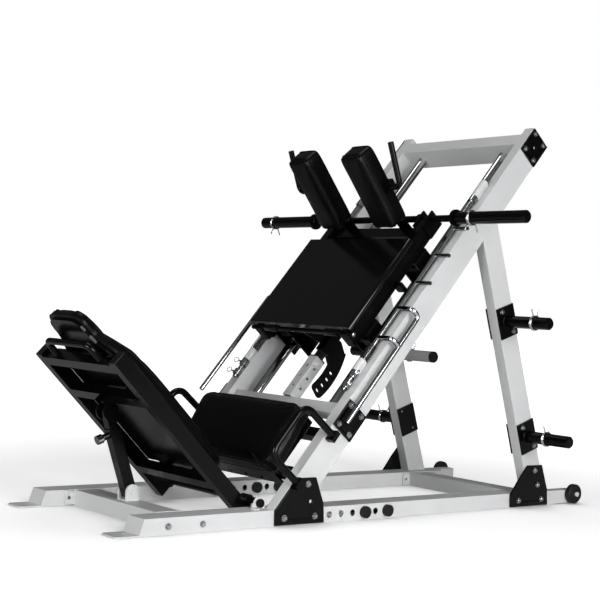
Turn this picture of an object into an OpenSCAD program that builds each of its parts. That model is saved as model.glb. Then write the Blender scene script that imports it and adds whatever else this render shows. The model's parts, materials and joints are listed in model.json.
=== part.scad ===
// Plate loaded leg press with an inclined sled, a fixed seat and a reclining back
// Millimetres, +Z up, +X towards the transport wheels, the seated user's right hand at -Y

/* [Base frame] */
// Length of each floor rail
rail_length = 2110; // [1900:10:2300]
// Width over the outer faces of the two floor rails
base_width = 780; // [740:10:860]
// Width of a floor rail tube
rail_width = 100; // [80:5:110]
// Height of a floor rail tube
rail_height = 60; // [50:2:70]
// Wall of the frame tubes
tube_wall = 3; // [2:0.5:5]
// Width of a floor crossbeam along the rails
cross_width = 100; // [70:5:120]
// Front edge of the front crossbeam from the rails' front end
front_cross_x = 112; // [90:2:150]
// Front edge of the rear crossbeam from the rails' front end
rear_cross_x = 1876; // [1850:2:1900]
// Thickness of gussets, flanges and horn plates
plate_thick = 8; // [5:1:12]
// Reach of a front foot tab past the rail end
foot_reach = 115; // [90:5:150]
// Thickness of the bent front foot plate
foot_thick = 6; // [4:1:10]
// Lean of the foot plate between the rail's top and the floor
foot_lean = 20; // [0:1:26]
// Diameter of the floor anchor hole in a foot tab
anchor_d = 14; // [10:1:18]
// Distance of the anchor hole from the rail end
anchor_x = 56; // [45:1:70]
// Diameter of the frame bolts
bolt_d = 12; // [8:1:14]
// Diameter of the peg holes through a rail
peg_hole_d = 25; // [18:1:30]
// Spacing of the peg holes
peg_pitch = 58.5; // [50:0.5:65]
// First peg hole from the rails' front end
peg_hole_x = 811; // [800:1:830]
// Diameter of the heads of a band peg
peg_head_d = 46; // [36:1:54]
// Diameter of a transport wheel
wheel_d = 84; // [70:2:96]
// Width of a transport wheel
wheel_width = 28; // [20:1:36]
// Distance of the wheel axle past the rail end
wheel_reach = 94; // [80:2:110]
// Radial clearance of a part that turns on a shaft
run_gap = 0.05; // [0.03:0.01:0.1]

/* [Incline] */
// Angle of the guide beams to the floor
beam_angle = 50; // [48:0.5:52]
// Where the upper plane of the beams meets the floor, from the rails' front end
incline_x = 495; // [480:1:510]
// Length of the beams along the incline, from that line
beam_length = 2090; // [2050:5:2150]
// Depth of a beam
beam_depth = 110; // [90:5:130]
// Width of a beam
beam_width = 50; // [40:2:60]
// Lower edge of the top crossbeam along the incline
top_cross_s = 1998; // [1980:2:2020]
// Width of the top crossbeam along the incline
top_cross_width = 60; // [40:5:70]
// Depth of the top crossbeam
top_cross_depth = 100; // [80:5:110]
// Upper edge of the lower crossmember along the incline
low_cross_s = 595; // [585:1:605]
// Size of the lower crossmember tube
low_cross_size = 50; // [40:2:60]
// Depth of the lower crossmember below the upper plane
low_cross_n = 25; // [20:1:30]
// Centre of a rear leg's foot from the rails' front end
leg_foot_x = 1997; // [1980:1:2010]
// Lean of the rear legs from the vertical
leg_lean = 18.8; // [17:0.2:21]
// Depth of a rear leg
leg_depth = 100; // [80:5:110]
// Diameter of a guide tube
guide_d = 38; // [34:1:42]
// Distance of a guide tube from the beams' outer faces
guide_inset = 144; // [138:1:150]
// Depth of the guide tubes below the upper plane
guide_n = 55; // [52:1:58]
// Length of the joint plates along a beam
joint_plate_length = 122; // [100:2:140]
// Lower edge of a splice plate along the incline
splice_s = 481; // [475:1:490]
// Size of the square stop post
post_size = 50; // [40:2:54]
// Depth of the stop post's axis below the upper plane
post_n = 40; // [36:1:44]
// Upper end of the stop post along the incline
post_end = 800; // [780:2:806]
// Pitch of the holes in the stop post
post_pitch = 52; // [45:1:60]
// Diameter of the holes in the stop post
post_hole_d = 11; // [8:1:14]
// Length of the rubber stop on the post
stop_length = 38; // [25:1:38]

/* [Storage horns] */
// Diameter of a storage horn
horn_d = 50; // [48:0.5:50]
// Length of a storage horn from its plate
horn_length = 227; // [180:2:260]
// Height of the right upper horn along the leg
upper_horn_z = 826; // [800:2:850]
// Height of the lower horns along the leg
lower_horn_z = 316; // [300:2:340]
// Height of the left middle horn along the leg
middle_horn_z = 639; // [610:2:660]
// Length of the horn on the inner side of the left leg
inner_horn_length = 250; // [200:5:280]
// Length of a horn plate along the leg
horn_plate = 132; // [110:2:150]

/* [Spring clips] */
// Wire of the spring clips
clip_wire = 5; // [4:0.5:6]
// Turns of a spring clip
clip_turns = 2.125; // [2.125:1:3.125]
// Pitch of the turns of a spring clip
clip_pitch = 6; // [6:0.5:8]
// Length of a clip's finger tails
clip_tail = 34; // [20:1:45]

/* [Seat] */
// Width of the seat pad
seat_width = 630; // [580:5:640]
// Length of the seat pad
seat_length = 285; // [250:5:300]
// Thickness of the seat pad at its sides
seat_thick = 62; // [50:1:68]
// Tilt of the seat against the beams
seat_pitch = 7.6; // [6:0.2:9]
// Front top edge of the seat along the incline
seat_s = 203; // [200:1:210]
// Front top edge of the seat above the beams
seat_n = 84; // [80:1:95]
// Rise of the crown of the seat pad
seat_crown = 10; // [4:1:14]
// Thickness of the seat and back boards
board_ply = 12; // [9:1:15]
// Size of the seat's cross tubes
seat_tube = 40; // [30:2:44]
// Diameter of a seat handle's tube
handle_d = 28; // [24:1:32]
// Bend radius of a seat handle
handle_bend = 46; // [40:1:55]
// Height of a seat handle above the beams
handle_n = 168; // [150:2:185]
// Lower leg of a seat handle along the incline
handle_s0 = 207; // [202:1:214]
// Upper leg of a seat handle along the incline
handle_s1 = 439; // [430:1:444]

/* [Backrest] */
// Angle of the back to the floor
recline = 44; // [42:0.5:46]
// Back pivot from the rails' front end
pivot_x = 517; // [510:1:525]
// Height of the back pivot
pivot_z = 80; // [76:1:86]
// Diameter of the pivot axle
pivot_d = 20; // [16:1:24]
// Width over the side members of the back
back_width = 556; // [530:2:570]
// Width of a side member
member_width = 40; // [30:2:50]
// Depth of a side member
member_depth = 56; // [50:2:70]
// Front face of the side members behind the pivot
member_set = 9; // [6:1:12]
// Length of the side members above the pivot
member_length = 774; // [740:2:800]
// Size of the back's crossbars
back_bar = 40; // [30:2:50]
// Width of the back pad
back_pad_width = 450; // [420:5:470]
// Width of the head of the back pad
head_width = 230; // [200:2:260]
// Width of the foot of the back pad
pad_foot_width = 385; // [350:5:410]
// Lower end of the back pad from the pivot
pad_low = 116; // [110:2:140]
// Upper end of the back pad from the pivot
pad_high = 925; // [900:1:950]
// Thickness of the back pad at its sides
back_thick = 58; // [45:1:65]
// Rise of the crown of the back pad
back_crown = 10; // [4:1:14]
// Diameter of the handle at the top of the back
grab_d = 25; // [20:1:30]
// Half width of that handle
grab_half = 150; // [120:5:170]
// Reach of that handle past the side members
grab_reach = 62; // [50:2:75]

/* [Strut] */
// Strut foot pivot from the rails' front end
strut_x = 172; // [165:1:180]
// Height of the strut's foot pivot
strut_z = 92; // [88:1:98]
// Size of the outer strut tube
strut_size = 44; // [40:1:48]
// Length of the outer strut tube past its pivot
strut_outer_length = 250; // [240:2:256]
// Clearance of the inner strut tube on each side
strut_gap = 1; // [0.6:0.1:1.5]
// Strut eye on the back, along the back from the pivot
lug_t = 537; // [530:1:545]
// Strut eye behind the pivot line
lug_v = 95; // [94:1:100]
// Diameter of the strut pivots
strut_pin_d = 12; // [10:1:14]
// Clearance of the open strut eye round its bolt
eye_gap = 4; // [3.5:0.5:5]
// Place of the pull pin along the strut
pull_pin_at = 226; // [215:1:230]
// Diameter of the pull pin
pull_pin_d = 10; // [8:1:12]
// Diameter of the pull knob
knob_d = 34; // [28:1:38]

/* [Sled] */
// Lower end of the sled's side rails along the incline
sled_low = 820; // [815:1:825]
// Upper end of the sled's side rails along the incline
sled_high = 1440; // [1430:1:1440]
// Width of a sled side rail
sled_width = 40; // [34:1:46]
// Depth of a sled side rail
sled_depth = 70; // [60:1:76]
// Height of the sled side rails above the beams
sled_n = 43; // [40:1:48]
// Distance of the sled side rails from the beams' outer faces
sled_inset = 100; // [98:1:104]
// Lower roller carriage along the incline
carriage_low = 922; // [918:1:926]
// Upper roller carriage along the incline
carriage_high = 1306; // [1290:2:1320]
// Length of a carriage along the incline
carriage_length = 86; // [76:2:90]
// Width of a grooved roller, made of two cones on one axle
roller_width = 84; // [70:2:86]
// Waist diameter of a roller
roller_waist = 44; // [40:1:48]
// Rim diameter of a roller
roller_rim = 60; // [56:1:62]
// Running gap between a roller and its guide tube
roller_gap = 0.3; // [0.2:0.1:0.6]
// Size of the sled's cross tubes
sled_tube = 50; // [40:2:54]
// Width of a shoulder pad
shoulder_width = 128; // [110:2:136]
// Length of a shoulder pad
shoulder_length = 350; // [320:5:360]
// Thickness of a shoulder pad at its sides
shoulder_thick = 84; // [74:2:90]
// Lean of the shoulder pads
shoulder_lean = 11; // [9:0.5:13]
// Distance of a shoulder pad from the middle
shoulder_y = 165; // [150:2:180]
// Diameter of the hand grips
grip_d = 24; // [20:1:28]

/* [Footplate] */
// Width of the footplate
board_width = 630; // [600:5:640]
// Length of the footplate
board_length = 474; // [440:2:490]
// Thickness of the footplate
board_thick = 28; // [22:1:32]
// Hinge axle of the footplate along the incline
hinge_s = 831; // [828:1:834]
// Hinge axle below the footplate
hinge_drop = 9; // [9:1:12]
// Diameter of the hinge axle
hinge_d = 16; // [12:1:18]
// Radius of the slots in the tilt quadrant
quadrant_r = 310; // [306:1:314]
// Angle between the slots of the quadrant
quadrant_step = 6.2; // [6:0.1:6.4]
// Distance of the quadrant from the middle
quadrant_y = 100; // [96:1:106]

/* [Weight bar] */
// Weight bar along the incline
bar_s = 1458; // [1456:1:1460]
// Weight bar above the beams
bar_n = 100; // [96:1:102]
// Diameter of the weight bar
bar_d = 28; // [25:1:28]
// Half length of the thin part of the bar
bar_half = 438; // [430:2:450]
// Diameter of the loading sleeves
sleeve_d = 50; // [48:0.5:50]
// Length of a loading sleeve
sleeve_length = 367; // [300:2:400]

/* [Safety bars] */
// Diameter of a safety rod
rod_d = 20; // [16:1:22]
// Distance of a safety rod from the beams' outer faces
rod_inset = 45; // [43:0.5:47]
// Height of a safety rod above the beams
rod_n = 19; // [18:0.5:20]
// Lower end of a safety rod along the incline
rod_low = 627; // [620:1:634]
// Upper end of a safety rod along the incline
rod_high = 1750; // [1745:1:1760]
// Length of a safety peg from the rod's axis
peg_length = 82; // [70:1:85]
// Diameter of a safety peg
peg_d = 16; // [12:1:16]
// First safety peg along the incline
peg_s = 1181; // [1179:1:1183]
// Pitch of the safety pegs
peg_step = 150; // [149:0.5:152]
// Outer bar of a safety handle from the rod's axis
loop_y = 80; // [76:1:84]
// Drop of that bar below the rod's axis
loop_drop = 45; // [40:1:48]
// Upper end of a safety handle along the incline
loop_s = 1044; // [1036:1:1052]
// Length of a safety handle's outer bar
loop_length = 534; // [500:2:540]
// Length of a bumper spring
spring_length = 82; // [70:1:84]
// Wire of a bumper spring
spring_wire = 4; // [3:0.5:4.5]
// Turns of a bumper spring
spring_turns = 10; // [7:1:11]

/* [Hidden] */
$fn = 48;

// Finishes
white_coat = [0.92, 0.92, 0.91];
black_coat = [0.06, 0.06, 0.065];
chrome = [0.80, 0.81, 0.83];
zinc = [0.68, 0.69, 0.71];
vinyl = [0.045, 0.045, 0.05];
rubber = [0.08, 0.08, 0.08];

// Half width over the frame and the plan position of the origin
hb = base_width / 2;
beam_in = hb - beam_width;
wheel_x = rail_length + wheel_reach;
cut = 1;
far = 4000;
head_h = 8;
head_d = 1.6 * bolt_d;
washer_d = 2 * bolt_d;
washer_h = 2;
bolt_gap = 0.5;

// Guide tubes, rollers and carriages
guide_y = hb - guide_inset;
roller_angle = atan((roller_rim - roller_waist) / roller_width);
roller_axis = roller_waist / 2 + (guide_d / 2 + roller_gap) / cos(roller_angle);
roller_slit = 0.1;
roller_axle_d = bolt_d;
roller_side = 1.5;
cheek = 8;
cheek_out = guide_y + roller_width / 2 + roller_side;
cheek_in = guide_y - roller_width / 2 - roller_side;
cheek_foot = guide_n + roller_axis + roller_rim / 2 + 4;
sled_out = hb - sled_inset;
sled_in = sled_out - sled_width;
sled_top = sled_n + sled_depth;

// Footplate and its hinge
board_bottom = sled_top + 0.3;
board_low = hinge_s + 2;
hinge_n = sled_top - hinge_drop;
knuckle_d = hinge_d + 10;
knuckle_y0 = sled_in - 20;
knuckle_y1 = sled_in - 100;
quadrant_thick = 8;

// Safety bars
rod_y = hb - rod_inset;
rod_r = rod_d / 2;
guard_d = rod_d + 12;
collar_d = rod_d + 12;
fit_gap = 0.05;
guard_low = 720;
guard_low_length = 55;
guard_high = 1662;
guard_high_length = 86;
spring_start = guard_low + guard_low_length + spring_wire / 2 + 0.2;
spring_mean = rod_d + 2 * spring_wire + 5;
arm_s = guard_low + guard_low_length + spring_length + 1;
arm_width = 18;
arm_reach = rod_y - collar_d / 2 - 1;
catch_s = 1123;
rung_s = arm_s + arm_width + 15;

// Sled cross tubes and shoulder supports
sled_cross_low = 980;
sled_cross_high = sled_high - sled_tube - 24;
support_s = sled_cross_high + sled_tube;
support_thick = 10;
support_width = 60;
support_n = 150;
support_length = 270;
bar_plate_s = sled_high - 40;
bar_plate_end = bar_s + bar_d / 2 + 14;

// Backrest
back_half = back_width / 2;
member_back = member_set + member_depth;
bar_low_t = 146;
bar_mid_t = lug_t + 36;
bar_top_t = member_length - 31;
pad_base = board_ply - member_set;
lug_x = pivot_x - lug_t * cos(recline) - lug_v * sin(recline);
lug_z = pivot_z + lug_t * sin(recline) - lug_v * cos(recline);
strut_tilt = atan2(strut_x - lug_x, lug_z - strut_z);
strut_length = norm([strut_x - lug_x, lug_z - strut_z]);
strut_bore = strut_size - 2 * tube_wall;
strut_inner_size = strut_bore - 2 * strut_gap;
strut_inner_low = 96;
lug_in = strut_inner_size / 2 + 2;
lug_thick = 8;
lug_r = 32;
pivot_lug_y = rail_in() + 40;
function rail_in() = hb - rail_width;

// Seat
seat_half = seat_width / 2;
pan_z = -seat_thick - board_ply;
seat_side_y = seat_half - 40;
handle_y = hb + plate_thick + handle_d / 2;

// Frames of reference
module floor_frame() { translate([-mid_x, 0, 0]) children(); }
module incline_frame() { translate([incline_x - mid_x, 0, 0]) rotate([0, -beam_angle, 0]) children(); }
module leg_frame() { translate([leg_foot_x - mid_x, 0, 0]) rotate([0, -leg_lean, 0]) children(); }
module back_frame() { translate([pivot_x - mid_x, 0, pivot_z]) rotate([0, recline - 90, 0]) children(); }
module strut_frame() { translate([strut_x - mid_x, 0, strut_z]) rotate([0, -strut_tilt, 0]) children(); }
module seat_frame_of() { translate([seat_s, 0, seat_n]) rotate([0, -seat_pitch, 0]) children(); }
module left() { mirror([0, 1, 0]) children(); }
module both() {
    children();
    mirror([0, 1, 0]) children();
}

// Building blocks
module box(a, b) { translate(a) cube(b - a); }
module box_tube_x(a, b, wall) {
    difference() {
        box(a, b);
        box(a + [-cut, wall, wall], b + [cut, -wall, -wall]);
    }
}
module box_tube_y(a, b, wall) {
    difference() {
        box(a, b);
        box(a + [wall, -cut, wall], b + [-wall, cut, -wall]);
    }
}
module box_tube_z(a, b, wall) {
    difference() {
        box(a, b);
        box(a + [wall, wall, -cut], b + [-wall, -wall, cut]);
    }
}
module rod_along_y(x, z, y0, y1, d) { translate([x, y1, z]) rotate([90, 0, 0]) cylinder(h = y1 - y0, d = d); }
module rod_along_x(y, z, x0, x1, d) { translate([x0, y, z]) rotate([0, 90, 0]) cylinder(h = x1 - x0, d = d); }
module rod_between(a, b, d) {
    v = b - a;
    translate(a) rotate([0, acos(v[2] / norm(v)), atan2(v[1], v[0])]) cylinder(h = norm(v), d = d);
}
// Plate standing on y = y0, its outline given in x and z, thickness towards -Y
module plate_xz(y0, thick) { translate([0, y0, 0]) rotate([90, 0, 0]) linear_extrude(thick) children(); }
// Hex bolt seen from -Y: head, washer and a shank that ends in the plate behind
module bolt_y(x, y, z, shank) {
    rod_along_y(x, z, y - washer_h, y, washer_d);
    rod_along_y(x, z, y - washer_h, y + shank, bolt_d);
    translate([x, y - washer_h, z]) rotate([90, 0, 0]) cylinder(h = head_h, d = head_d, $fn = 6);
}

// Bent bar in the XZ plane through the given corners
function unit(v) = v / norm(v);
function heading(p, i) = atan2(p[i + 1][1] - p[i][1], p[i + 1][0] - p[i][0]);
function turn_at(p, i) = heading(p, i) - heading(p, i - 1);
function turned(a) = a > 180 ? a - 360 : (a < -180 ? a + 360 : a);
function trim_at(p, i, r) = i == 0 || i == len(p) - 1 ? 0 : r * tan(abs(turned(turn_at(p, i))) / 2);
module bent_bar(p, d, r) {
    rotate([90, 0, 0]) {
        for (i = [0:len(p) - 2]) {
            u = unit(p[i + 1] - p[i]);
            a = p[i] + u * trim_at(p, i, r);
            l = norm(p[i + 1] - p[i]) - trim_at(p, i, r) - trim_at(p, i + 1, r);
            translate([a[0], a[1], 0]) rotate([0, 0, heading(p, i)]) rotate([0, 90, 0]) cylinder(h = l, d = d);
        }
        for (i = [1:len(p) - 2]) {
            t = turned(turn_at(p, i));
            h = heading(p, i - 1);
            u = unit(p[i] - p[i - 1]);
            s = t > 0 ? 1 : -1;
            c = p[i] - u * trim_at(p, i, r) + s * r * [-u[1], u[0]];
            start = t > 0 ? h - 90 : h + 90 + t;
            translate([c[0], c[1], 0]) rotate([0, 0, start]) rotate_extrude(angle = abs(t)) translate([r, 0]) circle(d = d);
        }
    }
}

// Wire swept along a path, six sides, ends closed
function ring_on(path, i, r, sides, ref) =
    let (t = unit(path[min(i + 1, len(path) - 1)] - path[max(i - 1, 0)]))
    let (a = unit(cross(t, ref)))
    let (b = cross(t, a))
    [for (k = [0:sides - 1]) path[i] + r * (cos(360 * k / sides) * a + sin(360 * k / sides) * b)];
function side_faces(rings, sides) =
    [for (i = [0:rings - 2], k = [0:sides - 1], h = [0, 1])
        let (a = i * sides + k)
        let (b = i * sides + (k + 1) % sides)
        h == 0 ? [a, b + sides, b] : [a, a + sides, b + sides]];
module wire(path, d, ref) {
    sides = 6;
    rings = len(path);
    points = [for (i = [0:rings - 1]) for (q = ring_on(path, i, d / 2, sides, ref)) q];
    last = (rings - 1) * sides;
    caps = [for (k = [1:sides - 2], h = [0, 1]) h == 0 ? [0, k, k + 1] : [last, last + k + 1, last + k]];
    polyhedron(points = points, faces = concat(side_faces(rings, sides), caps));
}
// Least gap of a wire to itself, measured between path points over half a turn apart
function self_gap(path, d, skip) =
    min([for (i = [0:len(path) - 1]) for (j = [i + skip:1:len(path) - 1]) norm(path[i] - path[j])]) - d;
rings_per_turn = 8;
function coil_path(r, pitch, turns) =
    [for (i = [0:turns * rings_per_turn])
        let (a = 360 * i / rings_per_turn)
        [r * cos(a), r * sin(a), pitch * i / rings_per_turn]];
// Clip: a tail, the turns round the sleeve and a second tail, both tails standing out from the coil
function spun(v, a) = [v[0] * cos(a) - v[1] * sin(a), v[0] * sin(a) + v[1] * cos(a), 0];
function clip_path(r) =
    let (c = coil_path(r, clip_pitch, clip_turns))
    let (n = len(c) - 1)
    let (a = 360 * clip_turns)
    concat(
        [c[0] + [clip_tail, -7, 0], c[0] + [9, -6.5, 0], c[0] + [2.5, -4.5, 0]],
        c,
        [c[n] + spun([2.5, 4.5], a), c[n] + spun([9, 6.5], a), c[n] + spun([clip_tail, 7], a)]);
clip_r = (max(horn_d, sleeve_d) / 2 + clip_wire / 2 + 0.3) / cos(180 / rings_per_turn);
spring_path = coil_path(spring_mean / 2, (spring_length - spring_wire) / spring_turns, spring_turns);
echo(spring_self_gap_mm = self_gap(spring_path, spring_wire, 6));
echo(clip_self_gap_mm = self_gap(clip_path(clip_r), clip_wire, 6));

// Cushion: outline rings from the board to the crown, sides drawn in at the seams
function pad_outline(l, w, p) =
    [for (k = [0:55])
        let (a = 360 * k / 56)
        let (pull = 1 - 0.006 * (1 + cos(4 * a)))
        [pull * l / 2 * sign(cos(a)) * pow(abs(cos(a)), 2 / p),
         pull * w / 2 * sign(sin(a)) * pow(abs(sin(a)), 2 / p), 1]];
pad_levels = [[9, 0], [2, 0.1], [0, 0.3], [1, 0.55], [4, 0.76], [11, 0.92], [24, 1]];
pad_crowns = [0.82, 0.6, 0.35];
module cushion(outline, l, w, thick, crown, soft) {
    n = len(outline);
    low = [for (v = pad_levels) for (q = outline)
        [q[0] * (1 - 2 * soft * v[0] / l), q[1] * (1 - 2 * soft * v[0] / w), q[2] * thick * v[1]]];
    in_l = 1 - 48 * soft / l;
    in_w = 1 - 48 * soft / w;
    high = [for (c = pad_crowns) for (q = outline)
        [q[0] * in_l * c, q[1] * in_w * c, (q[2] * c + 1 - c) * thick + crown * (1 - c * c)]];
    rings = len(pad_levels) + len(pad_crowns);
    points = concat(low, high, [[0, 0, thick + crown], [0, 0, 0]]);
    floor_faces = [for (k = [0:n - 1]) [rings * n + 1, k, (k + 1) % n]];
    top = (rings - 1) * n;
    roof_faces = [for (k = [0:n - 1]) [rings * n, top + (k + 1) % n, top + k]];
    polyhedron(points = points, faces = concat(side_faces(rings, n), floor_faces, roof_faces));
}

// Base frame
module rail_bolt_holes(x) {
    for (i = [0, 1]) {
        rod_along_y(x + i * (flange_length - 2 * flange_edge), rail_height / 2, -hb - cut, -rail_in() + cut, bolt_d + bolt_gap);
    }
}
flange_length = cross_width + 80;
flange_edge = 18;
function flange_x(x) = x + cross_width / 2 - flange_length / 2;
peg_list = [0, 1, 2, 3, 4, 5];
function peg_x(i) = peg_hole_x + i * peg_pitch;
peg_fits = [3, 5];
module rail() {
    difference() {
        box_tube_x([0, -hb, 0], [rail_length, -rail_in(), rail_height], tube_wall);
        for (i = peg_list) {
            rod_along_y(peg_x(i), rail_height / 2, -hb - cut, -rail_in() + cut, peg_hole_d);
        }
        rail_bolt_holes(flange_x(front_cross_x) + flange_edge);
        rail_bolt_holes(flange_x(rear_cross_x) + flange_edge);
    }
    box([rail_length, -hb, 4], [wheel_x + 20, -beam_in, rail_height]);
    rod_along_y(wheel_x, wheel_d / 2 + 2, -hb - wheel_width - 6, -hb, bolt_d);
    rod_along_y(wheel_x, wheel_d / 2 + 2, -hb - wheel_width - 12, -hb - wheel_width - 4, head_d);
}
module right_base_rail() { color(white_coat) floor_frame() rail(); }
module left_base_rail() { color(white_coat) floor_frame() left() rail(); }
module wheel() {
    translate([wheel_x, -hb - 2 - wheel_width / 2, wheel_d / 2 + 2]) rotate([90, 0, 0]) rotate_extrude() {
        difference() {
            translate([bolt_d / 2 + run_gap, -wheel_width / 2]) square([wheel_d / 2 - bolt_d / 2 - run_gap, wheel_width]);
            translate([wheel_d / 2 - 24, wheel_width / 2 - 3]) square([10, 4]);
            translate([wheel_d / 2 - 24, -wheel_width / 2 - 1]) square([10, 4]);
            translate([wheel_d / 2 - 3, wheel_width / 2 - 3]) square([4, 4]);
            translate([wheel_d / 2 - 3, -wheel_width / 2 - 1]) square([4, 4]);
        }
    }
}
module right_wheel() { color(rubber) floor_frame() wheel(); }
module left_wheel() { color(rubber) floor_frame() left() wheel(); }
module crossbeam(x) {
    box_tube_y([x, -rail_in() + plate_thick, 0], [x + cross_width, rail_in() - plate_thick, rail_height], tube_wall);
    both() plate_xz(-rail_in() + plate_thick, plate_thick) difference() {
        translate([flange_x(x), 4]) square([flange_length, rail_height - 8]);
        for (i = [0, 1]) {
            translate([flange_x(x) + flange_edge + i * (flange_length - 2 * flange_edge), rail_height / 2]) circle(d = bolt_d + bolt_gap);
        }
    }
}
module front_crossbeam() { color(white_coat) floor_frame() crossbeam(front_cross_x); }
module rear_crossbeam() { color(white_coat) floor_frame() crossbeam(rear_cross_x); }
foot_round = 18;
module foot() {
    difference() {
        union() {
            plate_xz(-rail_in(), rail_width)
                polygon([[-foot_thick, rail_height], [0, rail_height], [0, 0], [-foot_thick - foot_lean, 0]]);
            translate([0, -hb, 0]) linear_extrude(foot_thick) union() {
                translate([-foot_reach + foot_round, 0]) square([foot_reach - foot_round, rail_width]);
                translate([-foot_reach, foot_round]) square([foot_round, rail_width - 2 * foot_round]);
                for (y = [foot_round, rail_width - foot_round]) {
                    translate([-foot_reach + foot_round, y]) circle(r = foot_round);
                }
            }
        }
        translate([-anchor_x, -hb + rail_width / 2, -cut]) cylinder(h = foot_thick + 2 * cut, d = anchor_d);
    }
}
module right_front_foot() { color(white_coat) floor_frame() foot(); }
module left_front_foot() { color(white_coat) floor_frame() left() foot(); }

// Incline
module below(z) { translate([0, 0, z - far]) box([-far, -far, 0], [far, far, far]); }
module beam() {
    difference() {
        incline_frame() union() {
            box_tube_x([0, -hb, -beam_depth], [beam_length, -beam_in, 0], tube_wall);
            box([beam_length, -hb, -beam_depth], [beam_length + 4, -beam_in, 0]);
        }
        below(rail_height);
    }
}
module right_incline_beam() { color(white_coat) beam(); }
module left_incline_beam() { color(white_coat) left() beam(); }
module top_crossbeam() {
    color(white_coat) incline_frame() box_tube_y([top_cross_s, -beam_in, -top_cross_depth], [top_cross_s + top_cross_width, beam_in, 0], tube_wall);
}
module lower_crossmember() {
    color(white_coat) incline_frame() box_tube_y(
        [low_cross_s - low_cross_size, -beam_in, -low_cross_n - low_cross_size], [low_cross_s, beam_in, -low_cross_n], tube_wall);
}
module leg() {
    difference() {
        leg_frame() box_tube_z([-leg_depth / 2, -hb, -leg_depth], [leg_depth / 2, -beam_in, 1500], tube_wall);
        below(rail_height);
        incline_frame() box([-far, -far, -beam_depth], [far, far, far]);
    }
}
module right_rear_leg() { color(white_coat) leg(); }
module left_rear_leg() { color(white_coat) left() leg(); }
function beam_top_x(z) = incline_x + z / tan(beam_angle);
function leg_x(z) = leg_foot_x - z * tan(leg_lean);
gusset_top = 173;
gusset_foot = 3;
front_gusset_bolts = [[beam_top_x(150) + 72, 150], [beam_top_x(25) + 72, 30], [beam_top_x(25) + 216, 30]];
front_gusset_hole = [beam_top_x(82) + 148, 84];
rear_gusset_bolts = [[leg_x(156) + 5, 154], [leg_x(89) + 3, 92]];
module front_gusset() {
    plate_xz(-hb, plate_thick) difference() {
        polygon([[beam_top_x(58) + 4, gusset_foot], [beam_top_x(58) + 236, gusset_foot], [beam_top_x(58) + 230, 74],
            [beam_top_x(gusset_top) + 92, gusset_top], [beam_top_x(gusset_top) + 2, gusset_top], [beam_top_x(58) + 2, 58]]);
        for (b = front_gusset_bolts) {
            translate(b) circle(d = bolt_d + bolt_gap);
        }
        translate(front_gusset_hole) circle(d = bolt_d + 3);
    }
}
module rear_gusset() {
    plate_xz(-hb, plate_thick) difference() {
        polygon([[leg_x(0) - 188, gusset_foot], [leg_x(0) + 46, gusset_foot], [leg_x(0) + 40, 70], [leg_x(gusset_top) + 58, gusset_top + 3],
            [leg_x(gusset_top) - 32, gusset_top + 3], [leg_x(124) - 96, 124], [leg_x(0) - 192, 55]]);
        for (b = rear_gusset_bolts) {
            translate(b) circle(d = bolt_d + bolt_gap);
        }
        for (i = [0, 1]) {
            translate([flange_x(rear_cross_x) + flange_edge + i * (flange_length - 2 * flange_edge), rail_height / 2]) circle(d = bolt_d + bolt_gap);
        }
    }
}
module right_front_gusset() { color(black_coat) floor_frame() front_gusset(); }
module left_front_gusset() { color(black_coat) floor_frame() left() front_gusset(); }
module right_rear_gusset() { color(black_coat) floor_frame() rear_gusset(); }
module left_rear_gusset() { color(black_coat) floor_frame() left() rear_gusset(); }
joint_bolt_edge = 17;
function joint_bolts(s) = [for (a = [s + joint_bolt_edge, s + joint_plate_length - joint_bolt_edge], n = [-joint_bolt_edge, -beam_depth + joint_bolt_edge + 8]) [a, n]];
module joint_plate(s, hole) {
    plate_xz(-hb, plate_thick) difference() {
        translate([s, -beam_depth]) square([joint_plate_length, beam_depth]);
        for (b = joint_bolts(s)) {
            translate(b) circle(d = bolt_d + bolt_gap);
        }
        if (hole > 0) {
            translate([s + joint_plate_length / 2, -beam_depth / 2]) circle(d = hole);
        }
    }
}
top_plate_s = beam_length - joint_plate_length;
module beam_plates() {
    color(black_coat) incline_frame() both() {
        joint_plate(splice_s, 0);
        joint_plate(top_plate_s, 14);
    }
}
module guide_tube() {
    difference() {
        rod_along_x(-guide_y, -guide_n, low_cross_s, top_cross_s, guide_d);
        rod_along_x(-guide_y, -guide_n, low_cross_s - cut, top_cross_s + cut, guide_d - 2 * tube_wall);
    }
}
module right_guide_tube() { color(chrome) incline_frame() guide_tube(); }
module left_guide_tube() { color(chrome) incline_frame() left() guide_tube(); }
module stop_post() {
    h = post_size / 2;
    color(white_coat) incline_frame() difference() {
        box_tube_x([low_cross_s, -h, -post_n - h], [post_end, h, -post_n + h], tube_wall);
        for (i = [1:3]) {
            translate([low_cross_s + i * post_pitch, 0, -post_n]) cylinder(h = post_size, d = post_hole_d);
            rod_along_y(low_cross_s + i * post_pitch, -post_n, -post_size, 0, post_hole_d);
        }
    }
}
module stop_bumper() {
    h = post_size / 2;
    color(rubber) incline_frame() {
        box([post_end, -h, -post_n - h], [post_end + 6, h, -post_n + h]);
        rod_along_x(0, -post_n, post_end + 6, post_end + stop_length, post_size - 8);
    }
}

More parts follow.
